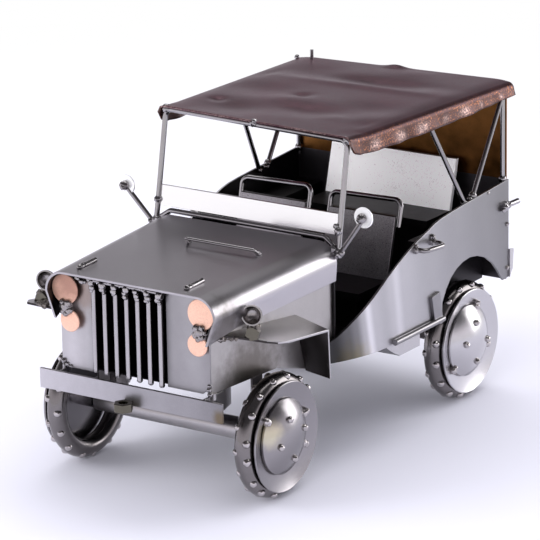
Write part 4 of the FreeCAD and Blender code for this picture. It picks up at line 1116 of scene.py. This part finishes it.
# Tail pins: a short wire on each rear corner, welded on with balls. A small tab stands at the
# corner's foot, and two rivets and a bead hold the rear panel.
tail_tab = [(230.8, 53.5), (233.6, 57.5), (234.4, 67), (230.8, 67.6)]
for side, sign in (("left", 1), ("right", -1)):
    pin_balls = ((62.0, 225.6, 90.2, 2.1), (62.2, 224.2, 89.2, 1.4), (62.4, 228.0, 90.7, 1.8))
    weld_wire(
        "tail_pin_wire_" + side,
        [[(sign * 61.6, 224, 90.4), (sign * 62.6, 236.9, 90.6)]],
        [((sign * x, station, z), size) for x, station, z, size in pin_balls],
        1.4, bright_wire, uneven=1.0, replaced=["tail_pin_" + side],
    )
    tab_plate = plate_on_edge(tail_tab, sign * 60.9, sign * 61.8)
    mesh_piece("tail_flap_" + side, [tab_plate], step_steel)
    rivets = ((61.0, 229.2, 80.5, 1.1), (61.0, 229.4, 58.5, 1.2), (60.9, 211.4, 100.4, 0.9))
    weld_wire(
        "tail_rivets_" + side, [],
        [((sign * x, station, z), size) for x, station, z, size in rivets], 1.0, weld_metal,
    )

# Axles: a round bar under each end of the car on its hanger plates, the front one inside a
# thick tube.
axle_stations = {"front": 38.4, "rear": 199.4}
axle_steel = steel("axle_steel", (0.12, 0.11, 0.11), 0.36, 0.4)
for end in axle_stations:
    cut_sheet("axle_" + end, axle_steel, 0.0002)
axle_tube_steel = steel("axle_tube_steel", (0.44, 0.42, 0.425), 0.32, 0.3)
axle_tube = [(x, axle_stations["front"], 28.6) for x in (-45.5, 45.5)]
weld_wire("axle_tube", [axle_tube], [], 5.1, axle_tube_steel, sides=48)

# Wheels: a ring of dark thick rod studded with balls of weld in two rows, a disc pressed
# to a shallow cone with a raised bright rim, and a domed cap held by blobs at its edge.
axle_z, tread_reach = 29, 28.9
tyre_rod, tyre_radius, tyre_inward, stud_count = 4.55, 24.2, 1.8, 32
disc_outline = [
    (46.6, 3.36), (46.6, 4.8), (54.4, 4.8), (54.4, 16.0), (57.7, 25.3), (58.0, 25.5),
    (58.5, 25.5), (58.7, 25.2), (55.4, 15.8), (55.4, 3.36),
]
cap_foot, cap_rise, cap_radius, cap_thickness, cap_steps = 57.3, 6.0, 17.4, 0.9, 24
rivet_circle = 9.8
cap_sphere = (cap_radius**2 + cap_rise**2) / (2 * cap_rise)
cap_middle = cap_foot + cap_rise - cap_sphere


def round_axle(x, station, radius, turn):
    """The place, in mm, of a point at a radius and a turn about an axle."""
    return (x, station + radius * math.sin(turn), axle_z + radius * math.cos(turn))


def turned(profile, station, side, count=96):
    """Points and faces of a closed shape turned about the axle from (x, radius) pairs."""
    points = []
    for x, radius in profile:
        points += [place(*round_axle(side * x, station, radius, turn)) for turn in turns(count)]
    return points, skin(len(profile), count, closed=True)


cap_outline = []
for step in range(cap_steps + 1):
    angle = math.asin(cap_radius / cap_sphere) * (1 - step / cap_steps)
    out = max(0.01, cap_sphere * math.sin(angle))
    cap_outline.append((cap_middle + cap_sphere * math.cos(angle), out))
cap_outline += [(x - cap_thickness, radius) for x, radius in reversed(cap_outline)]
rivet_face = cap_middle + math.sqrt(cap_sphere**2 - rivet_circle**2) + 0.3

tyre_steel = steel("tyre_steel", (0.21, 0.195, 0.195), 0.22, 0.3, 0.15, 0.0)
stud_steel = steel("stud_steel", (0.50, 0.47, 0.47), 0.16, 0.3, 0.2, 0.0)
# Painted reflection: the rear discs are coloured far lighter than the front ones. The front discs
# carry a pale straw spot, partly a heat tint and partly a painted glint.
front_disc_shaded_steel = steel(
    "front_disc_shaded_steel", (0.31, 0.295, 0.305), 0.24, 0.12, 0.15, 0.05, (58, 25.5, 34.5), 0.009,
    (0.64, 0.59, 0.44),
)
rear_disc_lit_steel = steel("rear_disc_lit_steel", (0.55, 0.535, 0.55), 0.24, 0.12, 0.15, 0.05)
for end, disc_steel, first_rivet, rim_blobs in (
    ("front", front_disc_shaded_steel, -8, (-52, 68, 117)), ("rear", rear_disc_lit_steel, 2, (-127, 25, 110)),
):
    station = axle_stations[end]
    for side, sign in (("left", 1), ("right", -1)):
        corner = end + "_" + side
        wheel = "wheel_" + corner
        low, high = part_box("tyre_" + corner)
        tyre_x = (low[0] + high[0]) / 2 * 1000 - sign * tyre_inward
        tyre_ring = [round_axle(tyre_x, station, tyre_radius, turn) for turn in turns(96)]
        weld_wire(
            "tyre_ring_" + corner, [tyre_ring], [], tyre_rod, tyre_steel, closed=True,
            sides=28, replaced=["tyre_" + corner], body=wheel,
        )
        dice = random.Random(20 + len(end) + sign)
        studs = []
        for number in range(stud_count):
            size = dice.uniform(1.8, 2.0)
            aside = (2.9 if number % 2 else -2.2) + dice.uniform(-0.2, 0.2)
            turn = 2 * math.pi * (number + dice.uniform(-0.25, 0.25)) / stud_count
            stud = round_axle(tyre_x + sign * aside, station, tread_reach - size, turn)
            studs.append((stud, size))
        weld_wire(
            "tyre_studs_" + corner, [], studs, 1.0, stud_steel, body=wheel
        )
        mesh_piece(
            "wheel_disc_plate_" + corner,
            [turned(disc_outline, station, sign), turned(cap_outline, station, sign)],
            disc_steel, ["wheel_disc_" + corner], wheel,
        )
        rivets = []
        for number in range(4):
            turn = math.radians(first_rivet + 90 * number + dice.uniform(-6, 6))
            rivets.append((round_axle(sign * rivet_face, station, rivet_circle, turn), 1.6))
        for turn in map(math.radians, rim_blobs):
            for out, size in ((17.0, 1.9), (18.6, 1.6)):
                face = 57.2 + (out - 17.0) * 0.2
                rivets.append((round_axle(sign * face, station, out, turn), size))
        weld_wire(
            "wheel_rivets_" + corner, [], rivets, 1.0, stud_steel, uneven=0.7,
            body=wheel,
        )
